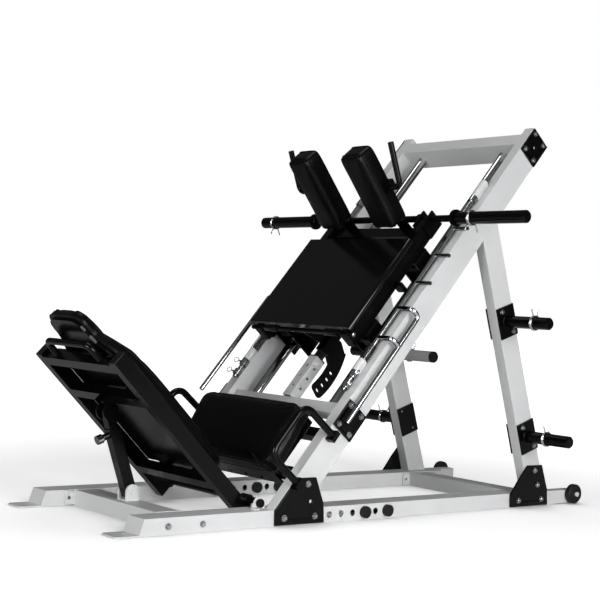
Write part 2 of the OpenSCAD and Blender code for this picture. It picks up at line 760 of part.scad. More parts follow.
// Storage
module horn_end(y, len_out, d) {
    rod_along_y(0, 0, y - len_out + 6, y, d);
    translate([0, y - len_out + 6, 0]) rotate([90, 0, 0]) cylinder(h = 6, d1 = d, d2 = d - 10);
}
horn_bolt = 48;
module horn_plate_at(y) {
    plate_xz(y, plate_thick) difference() {
        translate([-leg_depth / 2, -horn_plate / 2]) square([leg_depth, horn_plate]);
        for (k = [-1, 1]) {
            translate([-k * 24, k * horn_bolt]) circle(d = bolt_d + bolt_gap);
        }
    }
}
module horn(z) {
    leg_frame() translate([0, 0, z]) {
        horn_plate_at(-hb);
        horn_end(-hb - plate_thick, horn_length, horn_d);
    }
    leg_frame() translate([0, 0, z]) horn_plate_at(-beam_in + plate_thick);
}
module right_upper_horn() { color(black_coat) horn(upper_horn_z); }
module right_lower_horn() { color(black_coat) horn(lower_horn_z); }
module left_lower_horn() { color(black_coat) left() horn(lower_horn_z); }
module left_middle_horn() {
    color(black_coat) left() leg_frame() translate([0, 0, middle_horn_z]) horn_end(-hb, horn_length + plate_thick, horn_d);
}
module left_inner_horn() {
    color(zinc) left() leg_frame() translate([0, -beam_in, middle_horn_z]) difference() {
        rotate([-90, 0, 0]) cylinder(h = inner_horn_length, d = horn_d);
        rotate([-90, 0, 0]) translate([0, 0, -cut]) cylinder(h = inner_horn_length - 20, d = horn_d - 2 * tube_wall);
    }
}
// Clip on a sleeve along Y, its first turn at y
module clip_at(x, y, z, spin) {
    translate([x, y, z]) rotate([90, 0, 0]) rotate([0, 0, spin]) wire(clip_path(clip_r), clip_wire, [0, 0, 1]);
}
module storage_clips() {
    color(chrome) {
        leg_frame() clip_at(0, -hb - 148, upper_horn_z, 49);
        leg_frame() clip_at(0, -hb - 104, lower_horn_z, 49);
        left() leg_frame() clip_at(0, -hb - 104, lower_horn_z, 49);
        left() leg_frame() clip_at(0, -beam_in + 110, middle_horn_z, 49);
    }
}

// Seat
module seat_pad() {
    color(vinyl) incline_frame() seat_frame_of() translate([seat_length / 2, 0, -seat_thick])
        cushion(pad_outline(seat_length, seat_width, 7), seat_length, seat_width, seat_thick, seat_crown, 1);
}
seat_low_s = seat_s + 30;
seat_high_s = seat_s + seat_length - 70;
module seat_frame() {
    color(black_coat) incline_frame() {
        for (s = [seat_low_s, seat_high_s]) {
            box_tube_y([s, -beam_in, -seat_tube - 4], [s + seat_tube, beam_in, -4], tube_wall);
        }
        difference() {
            both() box([seat_s + 20, -seat_side_y, -4], [seat_s + seat_length - 12, -seat_side_y + plate_thick, seat_n + 40]);
            seat_frame_of() box([-far, -far, pan_z], [far, far, far]);
        }
        difference() {
            box([seat_s + 20, -seat_side_y + plate_thick, -62], [seat_s + 28, seat_side_y - plate_thick, seat_n + 40]);
            seat_frame_of() box([-far, -far, pan_z], [far, far, far]);
            for (y = [-150, -50, 50, 150]) {
                rod_along_x(y, -42, seat_s, seat_s + 40, 14);
            }
        }
        seat_frame_of() box([12, -seat_half + 16, pan_z], [seat_length - 12, seat_half - 16, -seat_thick]);
    }
}
handle_foot_low = 5;
handle_foot_high = -10;
function handle_points() = [[handle_s0, handle_foot_low - 6], [handle_s0, handle_n], [handle_s1, handle_n],
    [handle_s1, handle_foot_high - 6]];
module handle_foot(s, n, y) {
    box([s - 22, -handle_y - handle_d / 2 - 3, n - 18], [s + 22, -y, n]);
}
module seat_handle() {
    incline_frame() {
        translate([0, -handle_y, 0]) bent_bar(handle_points(), handle_d, handle_bend);
        handle_foot(handle_s1, handle_foot_high, hb);
        handle_foot(handle_s0, handle_foot_low, hb + plate_thick + fit_gap / 2);
    }
}
module right_seat_handle() { color(black_coat) seat_handle(); }
module left_seat_handle() { color(black_coat) left() seat_handle(); }

// Rail pegs and bolts
peg_head = 16;
module band_pegs() {
    color(rubber) floor_frame() both() for (i = peg_fits) {
        rod_along_y(peg_x(i), rail_height / 2, -hb, -rail_in(), peg_hole_d - 0.4);
        rod_along_y(peg_x(i), rail_height / 2, -hb - peg_head, -hb, peg_head_d);
        rod_along_y(peg_x(i), rail_height / 2, -rail_in(), -rail_in() + peg_head, peg_head_d);
    }
}
module frame_bolts() {
    color(zinc) {
        floor_frame() both() {
            for (i = [0, 1]) {
                bolt_y(flange_x(front_cross_x) + flange_edge + i * (flange_length - 2 * flange_edge), -hb, rail_height / 2, rail_width + plate_thick);
                bolt_y(flange_x(rear_cross_x) + flange_edge + i * (flange_length - 2 * flange_edge), -hb - plate_thick, rail_height / 2, rail_width + 2 * plate_thick);
            }
            for (b = concat(front_gusset_bolts, rear_gusset_bolts)) {
                bolt_y(b[0], -hb - plate_thick, b[1], plate_thick);
            }
        }
        incline_frame() both() for (b = concat(joint_bolts(splice_s), joint_bolts(top_plate_s))) {
            bolt_y(b[0], -hb - plate_thick, b[1], plate_thick);
        }
        for (z = [upper_horn_z, lower_horn_z], k = [-1, 1]) {
            leg_frame() bolt_y(-k * 24, -hb - plate_thick, z + k * horn_bolt, plate_thick);
        }
        left() for (k = [-1, 1]) {
            leg_frame() bolt_y(-k * 24, -hb - plate_thick, lower_horn_z + k * horn_bolt, plate_thick);
        }
    }
}

// Safety bars
module guard(s, l) {
    difference() {
        union() {
            rod_along_x(-rod_y, rod_n, s, s + l, guard_d);
            box([s, -rod_y - 8, 0], [s + l, -rod_y + 8, rod_n]);
        }
        rod_along_x(-rod_y, rod_n, s - cut, s + l + cut, rod_d + 2 * run_gap);
    }
}
module safety_sleeves() {
    color(white_coat) incline_frame() both() {
        guard(guard_low, guard_low_length);
        guard(guard_high, guard_high_length);
    }
}
module bumper_spring() {
    incline_frame() translate([spring_start, -rod_y, rod_n]) rotate([0, 90, 0]) wire(spring_path, spring_wire, [0, 0, 1]);
}
module right_bumper_spring() { color(chrome) bumper_spring(); }
module left_bumper_spring() { color(chrome) left() bumper_spring(); }
// Pieces set on the safety rod, cut to its round with a thin fitting gap
module on_rod() {
    difference() {
        children();
        rod_along_x(-rod_y, rod_n, rod_low - cut, rod_high + 20, rod_d + 2 * fit_gap);
    }
}
loop_bend = 18;
module handle_rung(s, drop) {
    translate([s, -rod_y, rod_n]) rotate([0, 0, -90]) bent_bar([[0, 0], [loop_y, 0], [loop_y, -drop]], rod_d, loop_bend);
}
module safety_handle() {
    handle_rung(loop_s, loop_drop / 2);
    handle_rung(rung_s, loop_drop);
    translate([0, -rod_y - loop_y, rod_n])
        bent_bar([[loop_s, -loop_drop / 2], [loop_s, -loop_drop], [loop_s - loop_length, -loop_drop]], rod_d, loop_bend);
}
module safety_bar() {
    rod_along_x(-rod_y, rod_n, rod_low, rod_high + 8, rod_d);
    on_rod() rod_along_x(-rod_y, rod_n, rod_high, rod_high + 8, collar_d);
    on_rod() rod_along_x(-rod_y, rod_n, guard_high - 28, guard_high - 1, collar_d);
    on_rod() rod_along_x(-rod_y, rod_n, rod_low + 10, rod_low + 34, collar_d);
    on_rod() rod_along_x(-rod_y, rod_n, rod_low + 60, guard_low - 1, collar_d);
    for (i = [0:2]) {
        on_rod() rod_along_y(peg_s + i * peg_step, rod_n, -rod_y - peg_length, -rod_y, peg_d);
    }
    on_rod() safety_handle();
}
// Both bars are one part: on the left it is turned half round its rod, so its handle stands up
module right_safety_bar() { color(chrome) incline_frame() safety_bar(); }
module left_safety_bar() {
    color(chrome) incline_frame() translate([0, rod_y, rod_n]) rotate([180, 0, 0]) translate([0, rod_y, -rod_n]) safety_bar();
}

// Sled
module roller_pair(s, side) {
    bore = roller_axle_d / 2 + run_gap;
    incline_frame() both() for (k = [-1, 1]) {
        translate([s, -guide_y, -guide_n + side * roller_axis]) rotate([90, 0, 0]) rotate_extrude() polygon([
            [bore, k * roller_slit], [roller_waist / 2, k * roller_slit],
            [roller_rim / 2, k * roller_width / 2], [bore, k * roller_width / 2]]);
    }
}
module lower_top_rollers() { color(rubber) roller_pair(carriage_low, 1); }
module lower_under_rollers() { color(rubber) roller_pair(carriage_low, -1); }
module upper_top_rollers() { color(rubber) roller_pair(carriage_high, 1); }
module upper_under_rollers() { color(rubber) roller_pair(carriage_high, -1); }
module carriage(s) {
    a = s - carriage_length / 2;
    b = s + carriage_length / 2;
    box([a, -cheek_out - cheek, -cheek_foot], [b, -cheek_out, sled_n]);
    box([a, -cheek_in, -cheek_foot], [b, -cheek_in + cheek, sled_n]);
    box([a, -cheek_out - cheek, sled_n - cheek], [b, -cheek_in + cheek, sled_n]);
    for (k = [-1, 1]) {
        rod_along_y(s, -guide_n + k * roller_axis, -cheek_out - cheek - 8, -cheek_in + cheek + 8, roller_axle_d);
        rod_along_y(s, -guide_n + k * roller_axis, -cheek_out - cheek - 8, -cheek_out - cheek, head_d);
        rod_along_y(s, -guide_n + k * roller_axis, -cheek_in + cheek, -cheek_in + cheek + 8, head_d);
    }
}
function support_lean(n) = support_s + (n - support_n) * tan(shoulder_lean);
module shoulder_support() {
    translate([0, -shoulder_y + support_width / 2, 0]) rotate([90, 0, 0]) linear_extrude(support_width) polygon([
        [support_s, sled_n], [support_s + support_thick, sled_n], [support_s + support_thick, support_n],
        [support_lean(support_n + support_length) + support_thick, support_n + support_length],
        [support_lean(support_n + support_length), support_n + support_length], [support_s, support_n]]);
}
module sled_side() {
    box_tube_x([sled_low, -sled_out, sled_n], [sled_high, -sled_in, sled_top], tube_wall);
    box([sled_high, -sled_out, sled_n], [sled_high + 3, -sled_in, bar_n - bar_d / 2 - 3]);
    carriage(carriage_low);
    carriage(carriage_high);
    for (y = [-sled_out - cheek, -sled_in]) {
        plate_xz(y + cheek, cheek) difference() {
            translate([bar_plate_s, sled_n]) square([bar_plate_end - bar_plate_s, bar_n + 20 - sled_n]);
            translate([bar_s, bar_n]) circle(d = bar_d + 2 * run_gap);
        }
    }
    box([arm_s, -arm_reach, rod_n - 12], [arm_s + arm_width, -cheek_out - cheek, sled_n - 4]);
    box([arm_s, -cheek_out - cheek, rod_n - 12], [carriage_low, -cheek_out, sled_n]);
    box([catch_s, -arm_reach, rod_n + 6], [catch_s + 20, -sled_out, sled_n + 20]);
    shoulder_support();
}
module sled_frame() {
    h = post_size / 2 - 3;
    color(black_coat) incline_frame() {
        both() sled_side();
        for (s = [sled_cross_low, sled_cross_high]) {
            box_tube_y([s, -sled_in, sled_n], [s + sled_tube, sled_in, sled_n + sled_tube], tube_wall);
        }
        box([post_end + stop_length + 2, -h, -post_n - h], [sled_cross_low + sled_tube, h, -post_n + h]);
        box([sled_cross_low + 5, -h, -post_n + h], [sled_cross_low + sled_tube - 5, h, sled_n]);
        rod_along_y(hinge_s, hinge_n, -sled_out - 18, sled_out + 18, hinge_d);
        both() rod_along_y(hinge_s, hinge_n, -sled_out - 26, -sled_out - 14, 2 * min(hinge_d / 2 + 5, hinge_drop));
    }
}
collar_w = 10;
module on_bar() {
    difference() {
        children();
        rod_along_y(bar_s, bar_n, -bar_half, bar_half, bar_d + 2 * fit_gap);
    }
}
module weight_bar() {
    color(black_coat) incline_frame() {
        rod_along_y(bar_s, bar_n, -bar_half + fit_gap, bar_half - fit_gap, bar_d);
        both() on_bar() union() {
            rod_along_y(bar_s, bar_n, -bar_half, -bar_half + collar_w, sleeve_d + 20);
            translate([bar_s, 0, bar_n]) horn_end(-bar_half, sleeve_length, sleeve_d);
            rod_along_y(bar_s, bar_n, -sled_in + cheek, -sled_in + cheek + 14, bar_d + 14);
        }
    }
}
clip_down = beam_angle - 212.5;
clip_near = sleeve_length - 293;
clip_far = sleeve_length - 92;
module sleeve_clips() {
    color(chrome) incline_frame() {
        clip_at(bar_s, -bar_half - clip_near, bar_n, clip_down);
        left() clip_at(bar_s, -bar_half - clip_far, bar_n, clip_down);
    }
}
module shoulder_pad() {
    incline_frame() translate([support_s, -shoulder_y, support_n]) rotate([0, shoulder_lean, 0])
        translate([-0.3, 0, shoulder_length / 2]) rotate([0, -90, 0])
        cushion(pad_outline(shoulder_length, shoulder_width, 8), shoulder_length, shoulder_width, shoulder_thick, 6, 0.5);
}
module right_shoulder_pad() { color(vinyl) shoulder_pad(); }
module left_shoulder_pad() { color(vinyl) left() shoulder_pad(); }
grip_n = support_n + 171;
grip_s = support_s + 2;
grip_y = sled_out + 20;
grip_up = 180;
grip_lean = 29;
lug_z0 = 148;
lug_z1 = 184;
module hand_grips() {
    side = shoulder_width / 2 + 2;
    color(black_coat) incline_frame() both() {
        translate([support_s, -shoulder_y, support_n]) rotate([0, shoulder_lean, 0]) {
            box([0.5, -side - 12, lug_z0], [support_thick - 1, -support_width / 2, lug_z1]);
            box([-46, -side - 12, lug_z0], [support_thick - 1, -side, lug_z1]);
        }
        translate([grip_s, 0, grip_n]) rotate([0, grip_lean, 0]) rotate([0, 0, 90])
            bent_bar([[-shoulder_y - side - 6, 0], [-grip_y, 0], [-grip_y, grip_up]], grip_d, 24);
    }
}

// Footplate
module footplate() {
    r = board_thick / 2;
    w = board_width / 2 - r;
    color(black_coat) incline_frame() difference() {
        union() {
            translate([board_low, 0, board_bottom + r]) rotate([90, 0, 90]) linear_extrude(board_length) union() {
                translate([-w, -r]) square([2 * w, board_thick]);
                for (y = [-w, w]) {
                    translate([y, 0]) circle(r = r);
                }
            }
            both() {
                rod_along_y(hinge_s, hinge_n, -knuckle_y0, -knuckle_y1, knuckle_d);
                box([hinge_s, -knuckle_y0, hinge_n - knuckle_d / 2], [hinge_s + 40, -knuckle_y1, board_bottom]);
            }
        }
        rod_along_y(hinge_s, hinge_n, -sled_in, sled_in, hinge_d + 2 * run_gap);
    }
}
function quad_point(r, a) = [-r * sin(a), -r * cos(a)];
quad_first = -5;
quad_half = 36;
quad_round = 18;
quad_low = quadrant_r - quad_half;
quad_high = quadrant_r + quad_half;
quad_last = quad_first + 3 * quadrant_step;
quad_top = -24;
module quadrant_plate() { plate_xz(quadrant_y + quadrant_thick / 2, quadrant_thick) children(); }
module tilt_quadrant() {
    top = board_bottom - hinge_n;
    color(black_coat) incline_frame() translate([hinge_s, 0, hinge_n]) difference() {
        union() {
            quadrant_plate() polygon([[34, top], [112, top], [116, -60], [118, -125], [156, -222], [160, -262],
                quad_point(quad_high - 3, quad_top + 1), quad_point(quadrant_r, quad_top / 2),
                quad_point(quad_low + 5, quad_top / 3), [84, -190], [48, -60]]);
            quadrant_plate() intersection() {
                difference() {
                    circle(r = quad_high);
                    circle(r = quad_low);
                }
                polygon([[0, 0], quad_point(2 * quad_high, quad_top), quad_point(2 * quad_high, 0), quad_point(2 * quad_high, quad_last)]);
            }
            for (k = [-1, 1]) {
                quadrant_plate() translate(quad_point(quadrant_r + k * (quad_half - quad_round), quad_last)) circle(r = quad_round);
            }
            quadrant_plate() rotate(-quad_last) translate([-quad_round, -quadrant_r - quad_half + quad_round])
                square([quad_round + 2, 2 * (quad_half - quad_round)]);
        }
        for (i = [0:3]) {
            rotate([0, quad_first + i * quadrant_step, 0]) {
                box([-4.5, 0, -quadrant_r - 5], [4.5, 2 * quadrant_y, -quadrant_r + 5]);
                for (k = [-1, 1]) {
                    rod_along_y(0, -quadrant_r + 5 * k, 0, 2 * quadrant_y, 9);
                }
            }
        }
    }
}

// Backrest
module backrest_brackets() {
    color(white_coat) floor_frame() both() {
        plate_xz(-pivot_lug_y, plate_thick) difference() {
            union() {
                translate([pivot_x - 30, rail_height]) square([60, pivot_z - rail_height]);
                translate([pivot_x, pivot_z]) circle(d = pivot_d + 24);
            }
            translate([pivot_x, pivot_z]) circle(d = pivot_d + 2 * run_gap);
            translate([pivot_x - far / 2, rail_height - far]) square(far);
        }
        box([pivot_x - 40, -pivot_lug_y - 40, rail_height], [pivot_x - pivot_d / 2 - 8, -pivot_lug_y - plate_thick, rail_height + 5]);
    }
}
module back_member() {
    box_tube_z([-member_back, -back_half, -14], [-member_set, -back_half + member_width, member_length], tube_wall);
    rod_along_y(0, 0, -back_half, -back_half + member_width, pivot_d + 26);
    box([-member_back + tube_wall, -back_half + tube_wall, -14], [-member_set - tube_wall, -back_half + member_width - tube_wall, 30]);
}
module strut_lug() {
    plate_xz(-lug_in, lug_thick) {
        translate([-lug_v, lug_t]) circle(r = lug_r);
        translate([-lug_v, lug_t]) square([lug_v - member_back + 2, bar_mid_t + back_bar / 2 - lug_t]);
    }
}
module back_handle() {
    z0 = bar_top_t + back_bar / 2;
    z1 = member_length + grab_reach;
    color(black_coat) back_frame() translate([-member_back + back_bar / 2, 0, 0]) rotate([0, 0, 90])
        bent_bar([[-grab_half, z0], [-grab_half, z1], [grab_half, z1], [grab_half, z0]], grab_d, 32);
}
module back_board() {
    l = pad_high - pad_low;
    m = (pad_low + pad_high) / 2;
    w = back_half - member_width - 1;
    translate([pad_base, 0, m]) rotate([0, -90, 0]) linear_extrude(board_ply) {
        polygon([for (q = back_outline()) [q[0] * (1 - 28 / l), q[1] * (1 - 28 / back_pad_width)]]);
        translate([bar_low_t - m, -w]) square([bar_top_t - bar_low_t, 2 * w]);
    }
}
module backrest_frame() {
    color(black_coat) back_frame() {
        both() back_member();
        for (t = [bar_low_t, bar_mid_t, bar_top_t]) {
            box_tube_y([-member_back, -back_half + member_width, t - back_bar / 2], [-member_back + back_bar, back_half - member_width, t + back_bar / 2], tube_wall);
            for (y = [-100, 80]) {
                box([-member_back + back_bar, y, t - 10], [-member_set - fit_gap, y + 20, t + 10]);
            }
        }
        back_board();
        rod_along_y(0, 0, -pivot_lug_y - plate_thick - 10, pivot_lug_y + plate_thick + 10, pivot_d);
        both() {
            rod_along_y(0, 0, -pivot_lug_y + plate_thick - 6, -back_half, pivot_d + 14);
            rod_along_y(0, 0, -pivot_lug_y - plate_thick - 12, -pivot_lug_y - plate_thick - 1, pivot_d + 12);
            strut_lug();
        }
        rod_along_y(-lug_v, lug_t, -lug_in - lug_thick - 6, lug_in + lug_thick + 6, strut_pin_d);
    }
}
// Half width of the back pad along its length: a foot, rounded sides, a neck and the head
function pad_half(t) =
    let (a = max(0, min(1, (t - pad_low) / (pad_wide_t - pad_low))))
    let (b = max(0, min(1, (t - pad_wide_t) / (pad_neck_t - pad_wide_t))))
    let (side = pad_foot_width / 2 + (back_pad_width - pad_foot_width) / 2 * pow(sin(90 * a), 1.3))
    side - (back_pad_width - head_width) / 2 * b * b * b;
function pad_share(t) = 1 - 0.3 * max(0, min(1, (t - member_length + 60) / 110));
function end_round(t, r) =
    let (e = min(t - pad_low, pad_high - t))
    e >= r ? 0 : r - sqrt(max(0, r * r - (r - e) * (r - e)));
pad_wide_t = 420;
pad_neck_t = member_length + 56;
pad_round = 52;
pad_stations = 26;
function station(i) =
    let (u = i / (pad_stations - 1))
    pad_low + (pad_high - pad_low) * (0.5 - 0.5 * cos(180 * u));
function back_outline() =
    let (m = (pad_low + pad_high) / 2)
    concat(
        [for (i = [pad_stations - 1:-1:0]) let (t = station(i)) [t - m, pad_half(t) - end_round(t, pad_round), pad_share(t)]],
        [for (i = [0:pad_stations - 1]) let (t = station(i)) [t - m, -pad_half(t) + end_round(t, pad_round), pad_share(t)]]);
module backrest_pad() {
    color(vinyl) back_frame() translate([pad_base, 0, (pad_low + pad_high) / 2]) mirror([1, 0, 0]) rotate([0, -90, 0])
        cushion(back_outline(), pad_high - pad_low, back_pad_width, back_thick, back_crown, 1);
}
// Front end of the machine at the head of the back pad or at the foot tabs, and the middle between the ends
head_ends = [for (v = pad_levels)
    pivot_x - (pad_high - v[0]) * cos(recline) + (pad_base + pad_share(pad_high) * back_thick * v[1]) * sin(recline)];
front_x = min(-foot_reach, min(head_ends));
mid_x = (wheel_x + wheel_d / 2 + front_x) / 2;

// Strut
bracket_in = strut_size / 2 + 1;
bracket_half = 28;
module strut_bracket() {
    color(white_coat) floor_frame() {
        box([strut_x - bracket_half, -bracket_in - 6, rail_height], [strut_x + bracket_half, bracket_in + 6, rail_height + 5]);
        both() plate_xz(-bracket_in, 6) difference() {
            union() {
                translate([strut_x - bracket_half, rail_height]) square([2 * bracket_half, strut_z - rail_height]);
                translate([strut_x, strut_z]) circle(r = bracket_half);
            }
            translate([strut_x, strut_z]) circle(d = strut_pin_d - 2);
        }
        rod_along_y(strut_x, strut_z, -bracket_in - 6, bracket_in + 6, strut_pin_d);
        both() rod_along_y(strut_x, strut_z, -bracket_in - 14, -bracket_in - 6, strut_pin_d + 8);
    }
}
strut_foot = 16;
pin_boss = 26;
module strut_outer() {
    h = strut_size / 2;
    color(black_coat) strut_frame() {
        difference() {
            union() {
                box_tube_z([-h, -h, -strut_foot], [h, h, strut_outer_length], tube_wall);
                translate([-h, 0, pull_pin_at]) rotate([0, -90, 0]) cylinder(h = pin_boss, d = 24);
            }
            rod_along_y(0, 0, -strut_size, strut_size, strut_pin_d + 2 * run_gap);
            translate([0, 0, pull_pin_at]) rotate([0, -90, 0]) cylinder(h = strut_size + pin_boss, d = pull_pin_d + 2 * run_gap);
        }
    }
}
module strut_inner() {
    h = strut_inner_size / 2;
    color(black_coat) strut_frame() difference() {
        union() {
            box_tube_z([-h, -h, strut_inner_low], [h, h, strut_length - 22], tube_wall);
            box([-h, -h, strut_length - 22], [h, h, strut_length]);
            translate([0, 0, strut_length]) rotate([90, 0, 0]) translate([0, 0, -h]) cylinder(h = 2 * h, r = h);
        }
        rod_along_y(0, strut_length, -strut_size, strut_size, strut_pin_d + 2 * eye_gap);
    }
}
module strut_pin() {
    h = strut_size / 2;
    tip = strut_inner_size / 2 + 0.5;
    color(chrome) strut_frame() translate([0, 0, pull_pin_at]) rotate([0, -90, 0]) {
        translate([0, 0, tip]) cylinder(h = h + pin_boss + 2 - tip, d = pull_pin_d);
        translate([0, 0, h + pin_boss + 1]) cylinder(h = 22, d = knob_d);
    }
}

echo(strut_tilt_deg = strut_tilt, strut_length = strut_length, mid_x = mid_x, roller_axis = roller_axis);
echo(lug = [lug_x - mid_x, lug_z], back_pivot = [pivot_x - mid_x, pivot_z], strut_pivot = [strut_x - mid_x, strut_z]);
echo(wheel_axle = [wheel_x - mid_x, wheel_d / 2 + 2], anchor = [-anchor_x - mid_x, hb - rail_width / 2]);

right_base_rail();
left_base_rail();
front_crossbeam();
rear_crossbeam();
right_front_foot();
left_front_foot();
right_incline_beam();
left_incline_beam();
top_crossbeam();
lower_crossmember();
right_rear_leg();
left_rear_leg();
right_front_gusset();
left_front_gusset();
right_rear_gusset();
left_rear_gusset();
beam_plates();
right_guide_tube();
left_guide_tube();
stop_post();
stop_bumper();
right_upper_horn();
right_lower_horn();
left_lower_horn();
left_middle_horn();
left_inner_horn();
storage_clips();
seat_pad();
seat_frame();
right_seat_handle();
left_seat_handle();
band_pegs();
frame_bolts();
safety_sleeves();
right_bumper_spring();
left_bumper_spring();
backrest_brackets();
strut_bracket();
right_wheel();
left_wheel();
sled_frame();
weight_bar();
sleeve_clips();
right_shoulder_pad();
left_shoulder_pad();
hand_grips();
lower_top_rollers();
lower_under_rollers();
upper_top_rollers();
upper_under_rollers();
footplate();
tilt_quadrant();
right_safety_bar();
left_safety_bar();
backrest_frame();
back_handle();
backrest_pad();
strut_outer();
strut_inner();
strut_pin();
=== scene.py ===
"""Visual model of a plate loaded inclined leg press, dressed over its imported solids."""
import json
import logging
import math
from dataclasses import dataclass, field
from enum import Enum
from typing import Callable, Sequence, Union

import bmesh
import bpy
from mathutils import Matrix, Vector


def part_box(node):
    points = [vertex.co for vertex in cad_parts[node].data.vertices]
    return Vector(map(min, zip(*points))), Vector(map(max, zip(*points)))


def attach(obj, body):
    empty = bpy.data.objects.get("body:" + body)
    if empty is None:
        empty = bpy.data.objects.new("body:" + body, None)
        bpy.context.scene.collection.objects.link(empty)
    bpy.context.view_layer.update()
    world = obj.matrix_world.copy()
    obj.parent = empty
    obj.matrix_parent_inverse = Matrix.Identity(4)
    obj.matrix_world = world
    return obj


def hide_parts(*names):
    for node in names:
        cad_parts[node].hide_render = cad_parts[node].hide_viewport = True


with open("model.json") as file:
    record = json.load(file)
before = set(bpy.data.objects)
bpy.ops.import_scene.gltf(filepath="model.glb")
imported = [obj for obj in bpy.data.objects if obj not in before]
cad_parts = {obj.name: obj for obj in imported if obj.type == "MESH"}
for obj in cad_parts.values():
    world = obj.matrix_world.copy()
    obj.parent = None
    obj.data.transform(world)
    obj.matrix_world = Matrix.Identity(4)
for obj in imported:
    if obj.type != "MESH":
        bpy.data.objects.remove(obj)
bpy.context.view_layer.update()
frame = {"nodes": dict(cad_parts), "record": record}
LOG = logging.getLogger("leg_press")
MM = 0.001

# Short names of types
Node, NodeTree, Socket = bpy.types.Node, bpy.types.NodeTree, bpy.types.NodeSocket
Material, Mesh, Object = bpy.types.Material, bpy.types.Mesh, bpy.types.Object
BMesh = bmesh.types.BMesh
Value = Union[float, Socket]
Axes = tuple[Vector, Vector, Vector]
Path = tuple[Sequence[Vector], bool]
Spot = tuple[float, float, float]
Inputs = Sequence[tuple[str, str, object]]


class Side(Enum):
    """Side of the machine, as the sign of Y."""

    RIGHT = -1
    LEFT = 1


class Body(Enum):
    """Rigid bodies that a drawn piece can ride on."""

    FRAME = "frame"
    SLED = "sled"
    BACK = "backrest"
    RIGHT_SAFETY = "right_safety"
    LEFT_SAFETY = "left_safety"


# ---- Layout of the machine


@dataclass(frozen=True)
class Layout:
    """Main sizes of the machine in millimetres, from the front end of the floor rails.

    Attributes:
        mid_x: Distance of the origin from the front end of the rails.
        half: Half of the width of the base.
        incline_x: Where the beams' top line meets the floor.
        plate: Thickness of the bolted plates.
        bar_s: Place of the weight bar along the beams.
        bar_n: Height of the weight bar above the beams.
        rod_y: Distance of the safety rods from the middle.
        rod_n: Height of the safety rods above the beams.
    """

    mid_x: float
    half: float = 390.0
    rail_width: float = 100.0
    rail_height: float = 60.0
    rail_length: float = 2110.0
    beam_width: float = 50.0
    beam_angle: float = math.radians(50.0)
    incline_x: float = 495.0
    leg_x: float = 1997.0
    leg_lean: float = math.radians(18.8)
    recline: float = math.radians(44.0)
    pivot_x: float = 517.0
    pivot_z: float = 80.0
    plate: float = 8.0
    bar_s: float = 1458.0
    bar_n: float = 100.0
    bar_half: float = 438.0
    rod_y: float = 345.0
    rod_n: float = 19.0
    upper_horn: float = 826.0
    lower_horn: float = 316.0
    middle_horn: float = 639.0

    def floor(self, x: float, y: float, z: float) -> Vector:
        """Point given along the rails, in metres in the model's frame."""
        return Vector((x - self.mid_x, y, z)) * MM

    def incline(self, s: float, y: float, n: float) -> Vector:
        """Point given along and above the guide beams."""
        c, d = math.cos(self.beam_angle), math.sin(self.beam_angle)
        return self.floor(self.incline_x + s * c - n * d, y, s * d + n * c)

    def leg(self, x: float, y: float, z: float) -> Vector:
        """Point given across and up a rear leg."""
        c, d = math.cos(self.leg_lean), math.sin(self.leg_lean)
        return self.floor(self.leg_x + x * c - z * d, y, x * d + z * c)

    def back(self, v: float, y: float, t: float) -> Vector:
        """Point given in front of and along the reclining back."""
        c, d = math.cos(self.recline), math.sin(self.recline)
        return self.floor(self.pivot_x + v * d - t * c, y, self.pivot_z + v * c + t * d)

    def axes(self, spot: Callable[[float, float, float], Vector]) -> Axes:
        """Unit vectors of one of the frames above.

        Args:
            spot: One of the placing methods.

        Returns:
            The directions of its first, second and third number.
        """
        o = spot(0, 0, 0)
        return tuple((spot(*u) - o).normalized() for u in ((1000, 0, 0), (0, 1000, 0), (0, 0, 1000)))


# ---- Node helpers and shared shader groups


